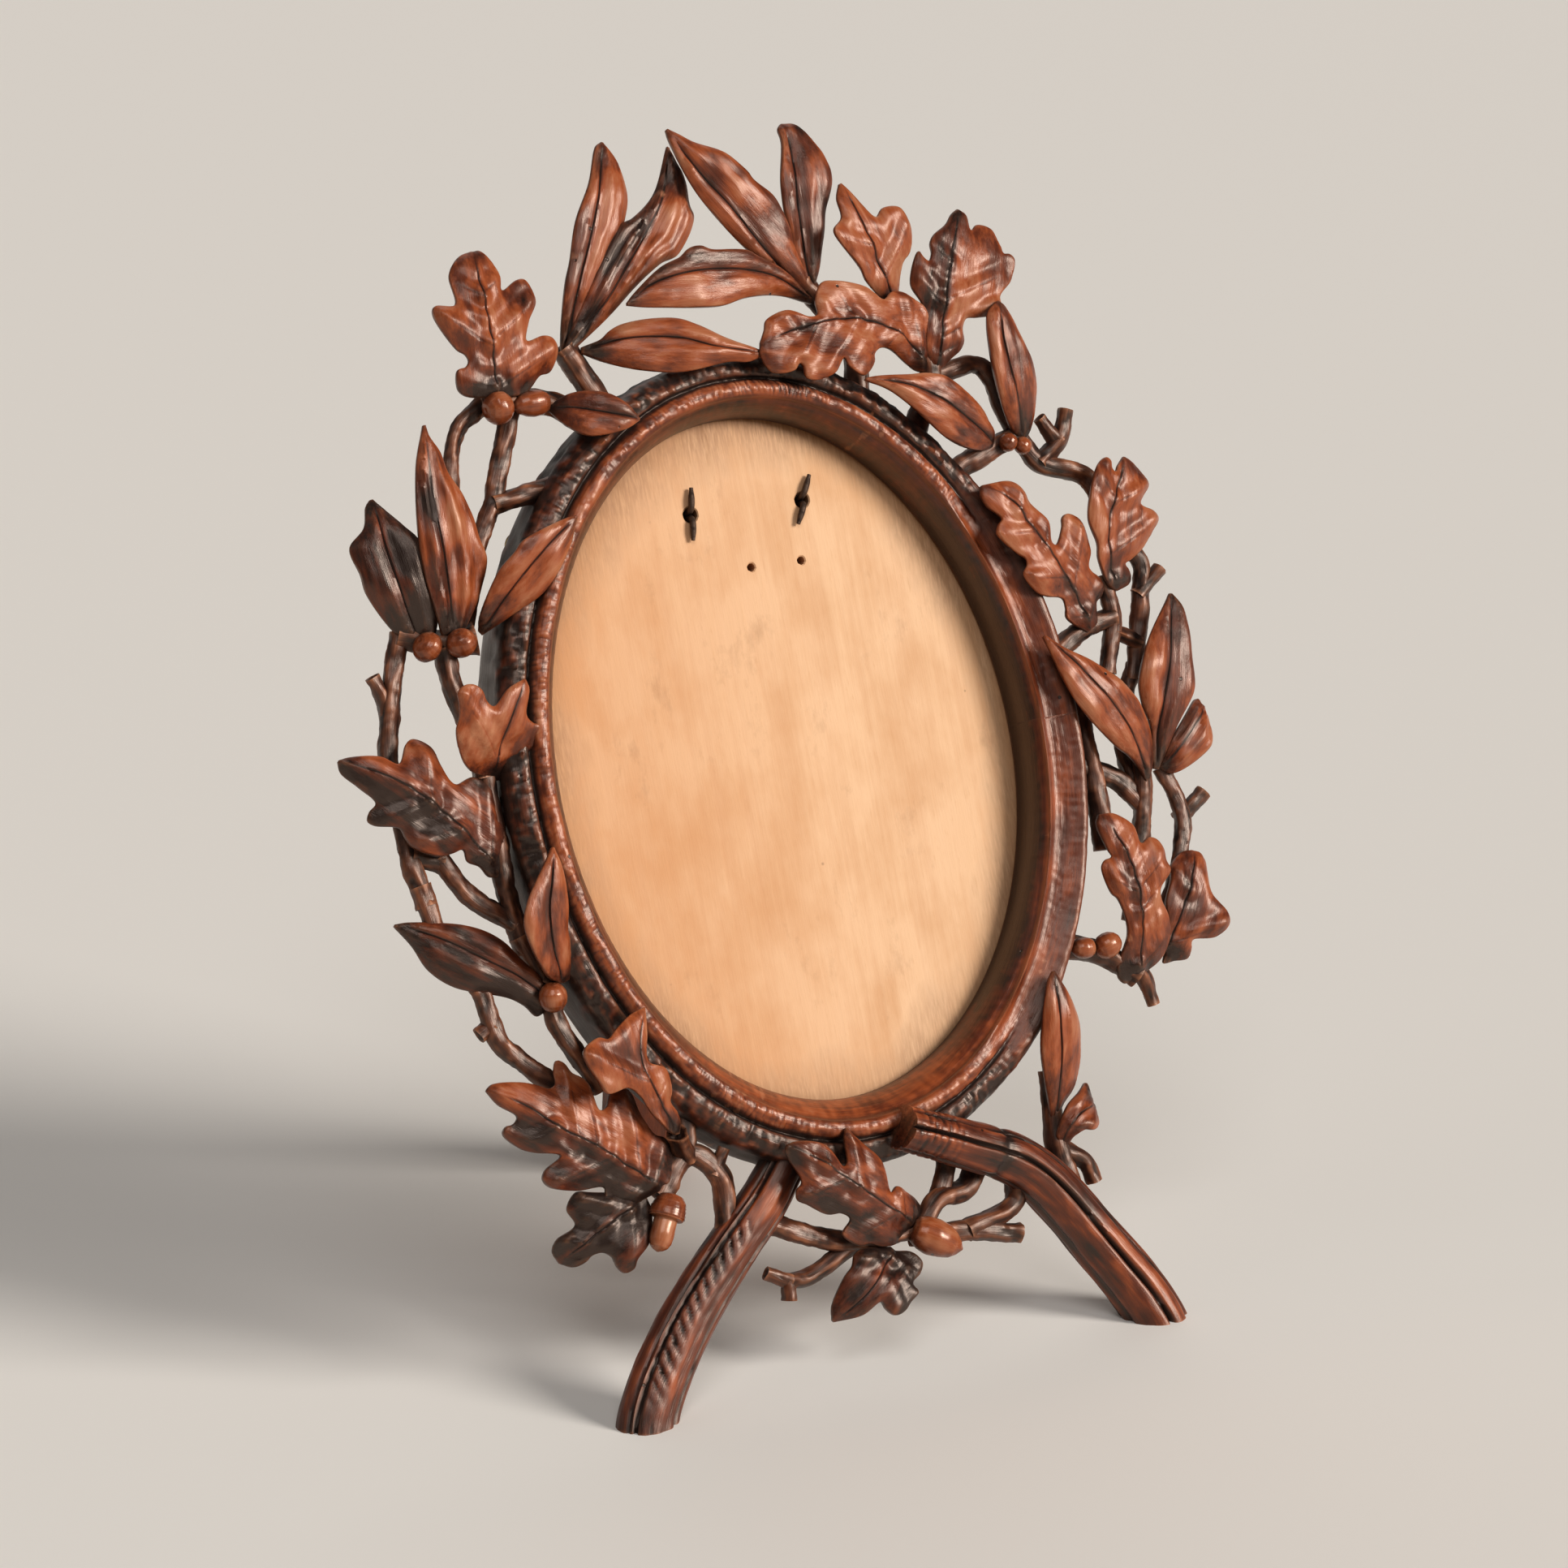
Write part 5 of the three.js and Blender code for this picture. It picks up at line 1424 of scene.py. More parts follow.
RIGHT_LEG = Spray(
    "right_leg", RIGHT_LEG_LEAVES,
    twigs=(
        Twig(((148, 8), (153, 16.9), (155, 27)), (8.5, 8), (2, 2.4)),
        Twig(((153.5, 19), (151.5, 25.7), (152, 30)), (8, 7), (1.9, 1.4)),
    ),
)

BOTTOM_LEAVES = (
    OakLeaf(
        base=(175.1, 14), tip=(-164.9, -2.4), rise=(9.5, 18.5), fold=(0.28, 0.2), stain_and_shade=(-0.14, 0.08),
        tone=0.46,
        rib=((9.9, 0.4), (19, 0.2), (27.4, -0.4)),
        left=((2.9, 5.4), (5.4, 7.2), (8.6, 8.1), (10.7, 9.5), (15.4, 9.3), (15.4, 6.2), (17.7, 6.1),
            (20.3, 7.6), (25.3, 7.9), (27.6, 8), (28.7, 6.4), (28.5, 4.8), (34.2, 1.4)),
        right=((-0.7, -2.2), (0.4, -3.9), (2.7, -4.7), (5.9, -4.5), (8.5, -4.4), (9.3, -2.6), (12.3, -5.4),
            (14.4, -7), (20.2, -8.3), (22.4, -8.6), (24.3, -9.2), (24, -7.1), (21.6, -2.9), (22, -1.9),
            (26.3, -3.5), (28.7, -3.7), (33.4, -1.7)),
    ),
    OakLeaf(
        base=(178.8, 16.9), tip=(-173.3, 29.7), rise=(9.5, 8.5), fold=(-0.1, 0.1), stain_and_shade=(-0.14, -0.14),
        tone=0.36,
        rib=((5.6, 0.2), (11.5, 0.7)),
        left=((-2.2, 3.5), (-2.1, 6.3), (-0.2, 7.3), (3.1, 7), (3.6, 8.8), (6.2, 8.8), (8.6, 8.9),
            (10.6, 7.9), (10.9, 5.7), (10.5, 4), (14.8, 3.1)),
        right=((4.9, -5.3), (6.9, -5.8), (9, -4.8), (11.5, -4.6), (16.8, -2.5)),
    ),
)
BOTTOM = Spray(
    "bottom", BOTTOM_LEAVES,
    twigs=(
        Twig(((176, 15.5), (169, 19.2), (163, 25.8)), (9, 8), (2, 1.9)),
        Twig(((169, 19.2), (162, 20.2), (160, 15)), (8.5, 8), (2, 2.2)),
        Twig(((175, 15.5), (171, 11.1), (167, 12), (163, 9)), (9, 7), (2, 2.3)),
        Twig(((171, 11.1), (168, 5), (168, -2)), (8, 7), (1.9, 2.1)),
        Twig(((174, 15), (-175, 14.1), (-166, 12)), (9, 8), (2, 2.2)),
        Twig(((-177, 14.6), (-171, 21.3), (-169, 22.5), (-169, 26)), (7.5, 6.5), (1.9, 1.5)),
        Twig(((-169, 22.5), (-166, 21.4)), (6.8, 7), (1.6, 1.2)),
    ),
    fruit=(
        Fruit(FruitKind.BUD, (176, 14), (171, 21.6), (10.5, 11.5), 3.8),
    ),
)

LOWER_LEFT_LEAVES = (
    OakLeaf(
        base=(-150.4, 14.7), tip=(-125, 26.5), rise=(10.5, 12), fold=(0.29, 0.1), stain_and_shade=(-0.14, 0.14),
        tone=0.44,
        rib=((9.3, -0.1), (17.3, -0.3), (24.6, 0.1), (32, -0.5)),
        left=((1.6, 2.9), (5.1, 7.2), (7.4, 7.8), (9.4, 6.9), (10.6, 5.5), (15.2, 8.5), (20.7, 10.5),
            (22.6, 9.8), (23, 8.1), (21.8, 4.5), (26.7, 6.3), (29.3, 6.8), (33.6, 5.9), (33.8, 4.4),
            (32.8, 3.4), (32.9, 1.9), (37.2, 1.5)),
        right=((-0.9, -1.5), (0, -6), (1.5, -8.1), (3.7, -9), (6, -8.5), (10, -9.9), (14, -12.9),
            (15.9, -13.3), (17.7, -12.3), (18.1, -10.5), (17.8, -8.1), (18.8, -6.9), (22.6, -10.2),
            (24.7, -10.9), (26.9, -10.8), (29.1, -11.8), (30.6, -11.5), (30.2, -9.4), (28.9, -7.2),
            (29.7, -5.9), (32.3, -5.3), (35.3, -4.3), (39.9, -1.5)),
    ),
    OakLeaf(
        base=(-149.5, 4.7), tip=(-134.4, -7.7), rise=(14, 18.5), fold=(-0.34, 0.34), stain_and_shade=(0.08, 0.08),
        tone=0.57,
        rib=((8.4, 3.2), (15.3, 4.5), (20.5, 3.3)),
        left=((1.8, 2.6), (5.4, 5.1), (9.6, 6.8), (12, 9.1), (12.4, 14.1), (15.2, 15.4), (21.4, 16.8),
            (23.1, 12.5), (22.2, 10.4), (23.2, 8.3), (25, 3.8)),
        right=((1.7, -1.1), (4.2, -0.9), (6.4, 0), (8.4, -1.1), (12.9, -0.8), (15.4, 2.7), (20.3, 1.4)),
    ),
    OakLeaf(
        base=(-149.2, 17.4), tip=(-143.4, 37.6), rise=(9, 5), fold=(-0.04, 0.04), stain_and_shade=(-0.14, -0.14),
        tone=0.3,
        rib=((7.6, -0.6), (14.4, -0.5)),
        left=((0.6, 2.7), (5.1, 7.1), (9.3, 8.3), (10.8, 9.3), (12.7, 9), (13.2, 7.2), (12.9, 4.9),
            (13.7, 3.3), (15.4, 2.6), (17.3, 2.9), (19.3, 2.4)),
        right=((9, -7.7), (11.1, -9.3), (14.3, -7.7), (14.8, -4.2), (18.9, -3.9), (20.6, -2.4)),
    ),
)
LOWER_LEFT = Spray(
    "lower_left", LOWER_LEFT_LEAVES,
    twigs=(
        Twig(((-151, 16), (-153, 5.5), (-158, 5.9), (-160.5, 15)), (9, 8), (2.2, 2.2)),
        Twig(((-157.5, 6.5), (-158, 0.8)), (8.5, 9.5), (1.6, 1)),
        Twig(((-153, 6), (-149.5, 4.5)), (9, 14), (2, 1.8)),
        Twig(((-153, 5.5), (-151, -2)), (8.5, 8), (2, 2.3)),
    ),
    fruit=(
        Fruit(FruitKind.ACORN, (-152, 14.6), (-152, 26.2), (11.3, 11.7), 3.4),
    ),
)

LEFT_LOWER_LEAVES = (
    LaurelLeaf(
        base=(-123.6, 4.4), tip=(-102.6, 26.4), rise=(9, 6.5), fold=(0.28, -0.03), stain_and_shade=(-0.14, 0),
        tone=0.4,
        rib=((8.4, -1.1), (15.7, -1), (22.6, -1.1), (29.1, -0.7)),
        left=((1.3, 3.5), (4.8, 3), (8.2, 3.1), (18.9, 5.9), (24.8, 5.1), (29.7, 2.2)),
        right=((3.8, -2.9), (7.3, -3.9), (18.6, -6.2), (32.1, -1.6)),
    ),
    LaurelLeaf(
        base=(-122, 1.7), tip=(-100.1, -4.7), rise=(11.5, 18.5), fold=(-0.34, 0.34), stain_and_shade=(0.08, 0.08),
        tone=0.6,
        rib=((7.3, 2.2), (14.2, 2.7), (20.3, 1.4)),
        left=((2, 3.9), (11.2, 8.4), (15.7, 7.4)),
        right=((0.9, -2.2), (5.2, -2.6), (9.8, -1.7), (14.4, -2), (21.1, -1.7)),
    ),
)
LEFT_LOWER = Spray(
    "left_lower", LEFT_LOWER_LEAVES,
    twigs=(
        Twig(((-112, 4), (-121.5, 3.6), (-126, 5.5), (-138, 6.5)), (8.5, 8), (2, 1.9)),
        Twig(((-99, 19.5), (-109, 19), (-115, 16), (-122, 17.7), (-127, 15.9), (-137, 10.5)), (7.5, 8.5),
            (1.9, 1.9)),
        Twig(((-120, 17.2), (-120, 20.6)), (8, 8), (1.6, 1.3)),
        Twig(((-121, 4), (-119, -2)), (9, 8.5), (2, 2.3)),
    ),
    fruit=(
        Fruit(FruitKind.BERRY, (-124.5, 5.6), (-120.6, 3.8), (11, 13), 2.8),
    ),
)

LEFT_MIDDLE_LEAVES = (
    OakLeaf(
        base=(-101.5, 3.8), tip=(-82.1, 32.3), rise=(9.5, 11), fold=(0.3, 0.23), stain_and_shade=(-0.14, 0.08),
        tone=0.43,
        rib=((9, -1.8), (15.8, -2.7), (23.7, -3), (31.5, -2)),
        left=((1.7, 1.6), (4.4, 1.2), (7.1, 1.8), (9.2, 0.6), (10.5, 2.3), (12.3, 4.1), (17.8, 5.7),
            (19.9, 5.1), (21.9, 4.2), (26.2, 6.3), (27.8, 6.3), (28.5, 4.7), (28.4, 2.8), (32.8, 2.1),
            (37.2, 1.6)),
        right=((-0.1, -3.2), (1.4, -6.2), (6.8, -9.7), (10.7, -13.3), (14.8, -12.7), (17.5, -9),
            (21.3, -10.5), (25.1, -12.6), (28.8, -12.1), (29.4, -10.3), (28.8, -6.1), (32.6, -5.1),
            (37.4, -1.9)),
    ),
    OakLeaf(
        base=(-85.3, 1.6), tip=(-68.1, -3.2), rise=(10, 18.5), fold=(-0.31, 0.31), stain_and_shade=(0.08, 0.08),
        tone=0.6,
        rib=((5.3, 1.3), (10.9, 1.2)),
        left=((0, 5.4), (1.2, 8.1), (5.6, 11.4), (8.1, 11.6), (10.3, 12.4), (12.2, 13.5), (13.9, 12.6),
            (14.7, 10.6), (14.2, 8.5), (12.5, 6.8), (12.1, 5.1), (16.1, 3.1)),
        right=((0.7, -2.5), (7.1, -6.2), (11.4, -5.6), (11.5, -3.8), (12.5, -2.1), (17.4, -1.3)),
    ),
)
LEFT_MIDDLE = Spray(
    "left_middle", LEFT_MIDDLE_LEAVES,
    twigs=(
        Twig(((-82, 2.6), (-99, 2.6), (-106, 3.3), (-115, 4)), (9, 8), (2, 2)),
        Twig(((-96, 14), (-103, 10.2), (-110, 3.5)), (6.5, 8), (1.8, 2)),
        Twig(((-86, 19.4), (-95, 19.8), (-102, 19.3)), (5.8, 7.3), (1.9, 1.9)),
        Twig(((-95, 19.5), (-97, 13.5)), (6.5, 6.5), (1.7, 1.8)),
    ),
)

LEFT_UPPER_LEAVES = (
    LaurelLeaf(
        base=(-65, 15.7), tip=(-51, 31), rise=(8.5, 8), fold=(0.33, -0.33), stain_and_shade=(-0.14, -0.14), tone=0.37,
        rib=((7.4, 1.3), (14, 1.6), (20.6, 1.4)),
        left=((2.7, 3.9), (11.3, 7.3), (15.2, 7.3), (20.8, 7.4), (23.8, 3.5), (27.6, 1.5)),
        right=((-0.4, -2.6), (2, -4.3), (14, -4.4), (18.3, -5), (22.2, -3.2)),
    ),
    LaurelLeaf(
        base=(-63.4, 9.5), tip=(-41.2, 28.1), rise=(11, 13), fold=(0.08, 0.11), stain_and_shade=(0, 0.14),
        ridges=0.36, cuts=2,
        rib=((7.8, 0.5), (14.8, 0.9), (22.7, 1.4), (30.7, 1.3)),
        left=((0.8, 2.1), (3.1, 2.7), (16.1, 5.1), (32.6, 3.5)),
        right=((0.7, -2.1), (9.5, -7.1), (14, -8.5), (18.5, -7.3), (22.8, -6.7), (26.6, -5.5), (31.6, -3.1),
            (35.8, -2.3), (39.4, -0.5)),
    ),
    LaurelLeaf(
        base=(-61, 3.8), tip=(-37.1, -6.6), rise=(10.5, 18.5), fold=(-0.23, 0.23), stain_and_shade=(0.08, 0.08),
        tone=0.6,
        rib=((7.4, 1.2), (14.5, 1.5), (21.2, 1.1)),
        left=((1.8, 2.4), (9.9, 5.5), (14.7, 5.5), (16.8, 5.7), (26.2, 1.6)),
        right=((5, -2.1), (13.2, -4.2), (22.7, -2.6)),
    ),
)
LEFT_UPPER = Spray(
    "left_upper", LEFT_UPPER_LEAVES,
    twigs=(
        Twig(((-65, 19.6), (-64.5, 13), (-63.5, 8), (-62, 4.5)), (7, 10), (2.2, 3)),
        Twig(((-65, 10.5), (-71, 7.9), (-77, 4.2), (-85, 2.6)), (9, 9), (2.1, 2)),
        Twig(((-64.5, 19), (-73, 19.8), (-82, 20.5), (-89, 19.2)), (6.5, 5.6), (1.9, 1.9)),
        Twig(((-76, 19.8), (-73, 21.6), (-71, 23.8)), (5.5, 6.5), (1.7, 1.4)),
    ),
    fruit=(
        Fruit(FruitKind.BERRY, (-66.2, 12.3), (-65.4, 16.6), (9.6, 11.8), 3.1),
        Fruit(FruitKind.BERRY, (-65.2, 6.6), (-62.8, 9.8), (11, 13.8), 3.1),
    ),
)

# the crest first, then down the right side, and from the bottom up the left side
WREATH = (
    CREST_LEFT, UPPER_LEFT, CREST_MIDDLE, CREST_RIGHT, RIGHT_SHOULDER, RIGHT_UPPER, RIGHT_MIDDLE,
    RIGHT_LOWER, RIGHT_LEG, BOTTOM, LOWER_LEFT, LEFT_LOWER, LEFT_MIDDLE, LEFT_UPPER,
)


@dataclass(frozen=True)
class OvalRing:
    """The ring: a bead like a thin branch, rough bark outside it and a flat band down the right."""

    maker: Maker
    stations: int = 1320
    bevel_inset: float = 2.6
    sill_inset: float = 1.8
    rebate_depth: float = 6
    lip: float = 1
    hatch: float = 1.3
    girth: float = 395
    band_begins: Span = (34, 52)
    band_ends: Span = (146, 164)
    bead: tuple[Span, ...] = (
        (9.5, 10.2), (9.4, 11.2), (9.15, 12.1), (8.75, 12.9), (8.2, 13.6), (7.5, 14.2), (6.7, 14.65),
        (5.9, 14.9), (5.2, 14.9), (4.7, 14.6), (4.4, 14.1), (4.2, 13.75), (4.0, 13.75), (3.8, 14.2),
        (3.6, 14.9), (3.3, 15.5), (2.9, 15.95), (2.4, 16.25), (1.85, 16.4), (1.3, 16.33), (0.85, 16.15),
        (0.5, 15.9), (0.25, 15.6), (0.08, 15.25), (0.0, 14.8),
    )
    band: tuple[float, ...] = (
        12.0, 13.2, 14.3, 15.2, 15.6, 15.6, 15.2, 14.85, 14.65, 14.5, 14.4, 14.3, 14.25, 14.2, 14.15,
        14.1, 14.0, 13.95, 14.0, 14.3, 14.8, 15.3, 15.5, 15.3, 14.6,
    )
    back: tuple[Span, ...] = (
        (0, 6.5), (0, 6.0), (3, 6.0), (3, 0), (8.9, 0), (9.35, 0.35), (9.5, 1.2), (9.5, 4), (9.5, 7),
        (9.5, 9),
    )

    def build(self) -> Shape:
        """The ring as a closed shape.

        Returns:
            The shape, laid flat.
        """
        angle = np.linspace(0, -2 * math.pi, self.stations, endpoint=False)[:, None]
        clock = np.degrees(np.arctan2(FLAT.sight[0] * np.cos(angle), FLAT.sight[1] * np.sin(angle)))
        run = np.cumsum(np.full(self.stations, self.girth / self.stations))[:, None]
        outs, beads = np.array(self.bead).T[:, None, :]
        flat = ease(clock, *self.band_begins) * (1 - ease(clock, *self.band_ends))
        heights = beads + (np.array(self.band)[None, :] - beads) * flat
        place = np.stack([run + 0 * outs, outs + 0 * run, 0 * outs + 0 * run], -1)
        outside = ease(outs, 4.5, 5.4) * (1 - 0.85 * flat)
        coarse = wave_noise(place, (0.16, 0.5, 1), 2)
        rough = wave_noise(place, (0.42, 0.95, 1), 3)
        fine = wave_noise(place, (1.1, 1.6, 1), 5)
        heights = heights + outside * (0.7 * coarse + 0.55 * rough + 0.3 * fine)
        heights = heights + 0.07 * fine + 0.16 * coarse
        on_bead = ease(outs, 0.3, 1.2) * (1 - ease(outs, 3.7, 4.2)) * (1 - 0.9 * flat)
        wander = run + 0.35 * outs + 1.9 * wave_noise(place, (0.25, 0.35, 1), 7)
        notch = np.maximum(0, np.cos(2 * math.pi * wander / self.hatch)) ** 4 * (0.55 + 0.9 * rough)
        along = np.stack([run, 0 * run, 0 * run], -1)
        where = np.clip(0.35 + 1.2 * wave_noise(along, (0.05, 1, 1), 8), 0, 1)
        top_only = np.maximum(ease(-np.abs(clock), -75, -45), 0.35 * ease(-clock, 50, 70))
        cut = notch * where * on_bead * (0.35 + 0.65 * top_only)
        heights = heights - 0.55 * cut + (0.3 * rough + 0.18 * fine) * on_bead
        # painted shade: the hatch cuts and the groove between the bead and the bark are darkened
        tone = PLAIN + 0.02 * flat - 0.5 * cut + 0.3 * rough * on_bead
        tone = tone - outside * (0.22 - 0.35 * rough - 0.2 * fine) + 0.1 * coarse
        tone = tone + 0.14 * on_bead - 0.55 * bump(outs, 4.1, 0.45) * (1 - flat)
        inset = self.bevel_inset + self.sill_inset * np.maximum(0, -np.sin(angle)) ** 2
        drop = np.array([0.06, 0.2, 0.4, 0.6, 0.8, 1.0])[None, :]
        low = self.rebate_depth + self.lip
        bevel_out = -inset * (1 - (1 - drop) ** 2.2) ** 0.8
        bevel_up = heights[:, -1:] - (heights[:, -1:] - low) * drop
        bevel = np.stack([run + 0 * drop, 20 + bevel_out, bevel_up], -1)
        bevel_out = bevel_out + 0.10 * wave_noise(bevel, (0.9, 1.1, 1.1), 11) * (1 - drop)
        sill = ease(-np.sin(angle), 0.55, 0.95)
        # painted shade: the bevel is darker down the right side and deeper in; it is lighter along the
        # bottom
        bevel_tone = 0.36 - 0.22 * flat * ease(drop, 0.05, 0.3) - 0.1 * drop + 0.26 * sill
        bevel_tone = bevel_tone + 0.14 * wave_noise(bevel, (0.7, 0.9, 0.9), 12)
        back_outs, back_ups = np.array(self.back).T[:, None, :]
        back_ups = back_ups + 0 * run
        back_outs = np.where(back_outs == 0, -inset, back_outs)
        behind = np.stack([run + 0 * back_ups, back_ups, 40 + 0 * back_ups], -1)
        back_rough = 0.5 * wave_noise(behind, (0.3, 0.6, 1), 13) * (np.arange(len(self.back)) > 5)
        ups = np.concatenate([heights, bevel_up, back_ups], 1)
        reach = np.concatenate([outs + 0 * run, bevel_out, back_outs + back_rough], 1)
        tone = np.concatenate([tone, bevel_tone, 0.2 + 0.5 * back_rough + 0 * back_ups], 1)
        flat_points = FLAT.off_sight(angle + 0 * reach, reach)
        rings = np.concatenate([flat_points, ups[..., None]], -1)
        grain = np.stack([run + 0 * ups, reach * 1.0, ups], -1)
        return Shape.loft(rings, grain, tone, closed=True)

    def make(self) -> None:
        """Add the ring."""
        self.maker.add("oval_ring_carved", self.build(), ("oval_ring",), sharp=70)


@dataclass(frozen=True)
class Groove:
    """A groove or ridge along a leg: its angle round the leg, width and depth as a share of the leg."""

    angle: float
    width: float
    depth: float


@dataclass(frozen=True)
class Leg:
    """A branch-shaped front leg, cut off level on the table."""

    name: str
    path: tuple[Place, ...]
    rise: tuple[float, ...]
    foot: float
    grooves: tuple[Groove, ...]
    notches: float = 0.0
    log_cuts: float = 0.0
    hip: Span = (4.6, 5.6)
    sole: Span = (6.8, 6.2)
    leg_z: float = 7.5
    shin_bow: float = 2
    run_out: float = 12
    notch_pitch: float = 3.1
    log_pitch: float = 1.7
    count: int = 150
    sides: int = 84

    def line(self) -> np.ndarray:
        """The middle of the branch.

        Returns:
            u, v, w from the ring to below the table, in even shares.
        """
        ground = -(FLAT.centre_height + self.leg_z * math.sin(FLAT.lean)) / math.cos(FLAT.lean)
        sole = np.array([self.foot, ground])
        upper = [FLAT.on_wreath(place) for place in self.path]
        way = math.copysign(self.shin_bow, self.foot)
        shin = (upper[-1] + sole) / 2 + np.array([way, 0])
        beyond = sole + np.array([way, -self.run_out])
        heights = [*self.rise, self.leg_z, self.leg_z, self.leg_z]
        return smooth_path(np.column_stack([np.array([*upper, shin, sole, beyond]), heights]), self.count)

    def build(self, seed: int) -> Shape:
        """The leg as a closed shape.

        Args:
            seed: moves the bark.

        Returns:
            The shape, laid flat.
        """
        share = np.linspace(0, 1, self.count)[:, None]
        halves = np.array(self.hip) + share * (np.array(self.sole) - np.array(self.hip))
        stick = Sweep(self.line(), halves, self.sides)
        run, degrees = stick.guide()[2], np.degrees(stick.angle)
        grain = stick.fibres(53.0 * seed)
        wander = 5 * wave_noise(grain, (0.05, 0.02, 0.02), seed)
        coarse = wave_noise(grain, (0.12, 0.3, 0.3), seed + 1)
        fine = wave_noise(grain, (0.3, 1.1, 1.1), seed + 2)
        stretch = 0.97 + 0.035 * coarse + 0.018 * fine
        tone = PLAIN + 0.25 * coarse + 0.12 * fine
        # painted shade: every groove is darkened as well as sunk, and the grooves round the underside darken
        # it
        for groove in self.grooves:
            line_cut = bump(degrees + wander, groove.angle, groove.width)
            stretch = stretch - groove.depth * line_cut
            tone = tone - 2.6 * groove.depth * line_cut
        if self.notches:
            row = run / self.notch_pitch + (degrees - 110) / 30
            nick = np.maximum(0, np.cos(2 * math.pi * row)) ** 3 * bump(degrees + wander, self.notches, 15)
            nick = nick * ease(share, 0.25, 0.34) * (1 - ease(share, 0.66, 0.8))
            stretch = stretch - 0.15 * nick
            # painted shade: the notches are darkened
            tone = tone - 0.5 * nick
        if self.log_cuts:
            hoop = np.maximum(0, np.cos(2 * math.pi * run / self.log_pitch + 2 * coarse)) ** 4
            hoop = hoop * (1 - ease(share, 0.10, 0.2))
            hoop = np.maximum(hoop, bump(share, self.log_cuts, 0.012)) * ease(share, 0.0, 0.03)
            stretch = stretch - 0.07 * hoop
            # painted shade: the log cuts are darkened
            tone = tone - 0.35 * hoop
        return self.cut_level(stick.line[:, None] + stick.skin(stretch), grain, tone)

    def cut_level(self, body: np.ndarray, grain: np.ndarray, tone: np.ndarray) -> Shape:
        """Stop every line of the branch on the table.

        Args:
            body: stations by sides by u, v, w.
            grain: fibre coordinates in the same layout.
            tone: tones in the same layout.

        Returns:
            The branch, closed by a flat sole.
        """
        heights = FLAT.stand(body)[..., 2]
        stop = np.empty(self.sides)
        for side in range(self.sides):
            first = int(np.argmax(heights[:, side] < 0))
            above, below = heights[first - 1, side], heights[first, side]
            stop[side] = first - 1 + above / (above - below)
        at = np.linspace(0, 1, self.count)[:, None] * stop[None, :]
        low = np.minimum(at.astype(int), self.count - 2)
        part = at - low
        column = np.arange(self.sides)[None, :]
        cut = []
        for rows in (body, grain, tone[..., None]):
            cut.append(rows[low, column] * (1 - part[..., None]) + rows[low + 1, column] * part[..., None])
        return Shape.loft(cut[0], cut[1], cut[2][..., 0])

    def make(self, maker: Maker, seed: int) -> None:
        """Add the leg."""
        maker.add(f"{self.name}_carved", self.build(seed), (self.name,), sharp=60)


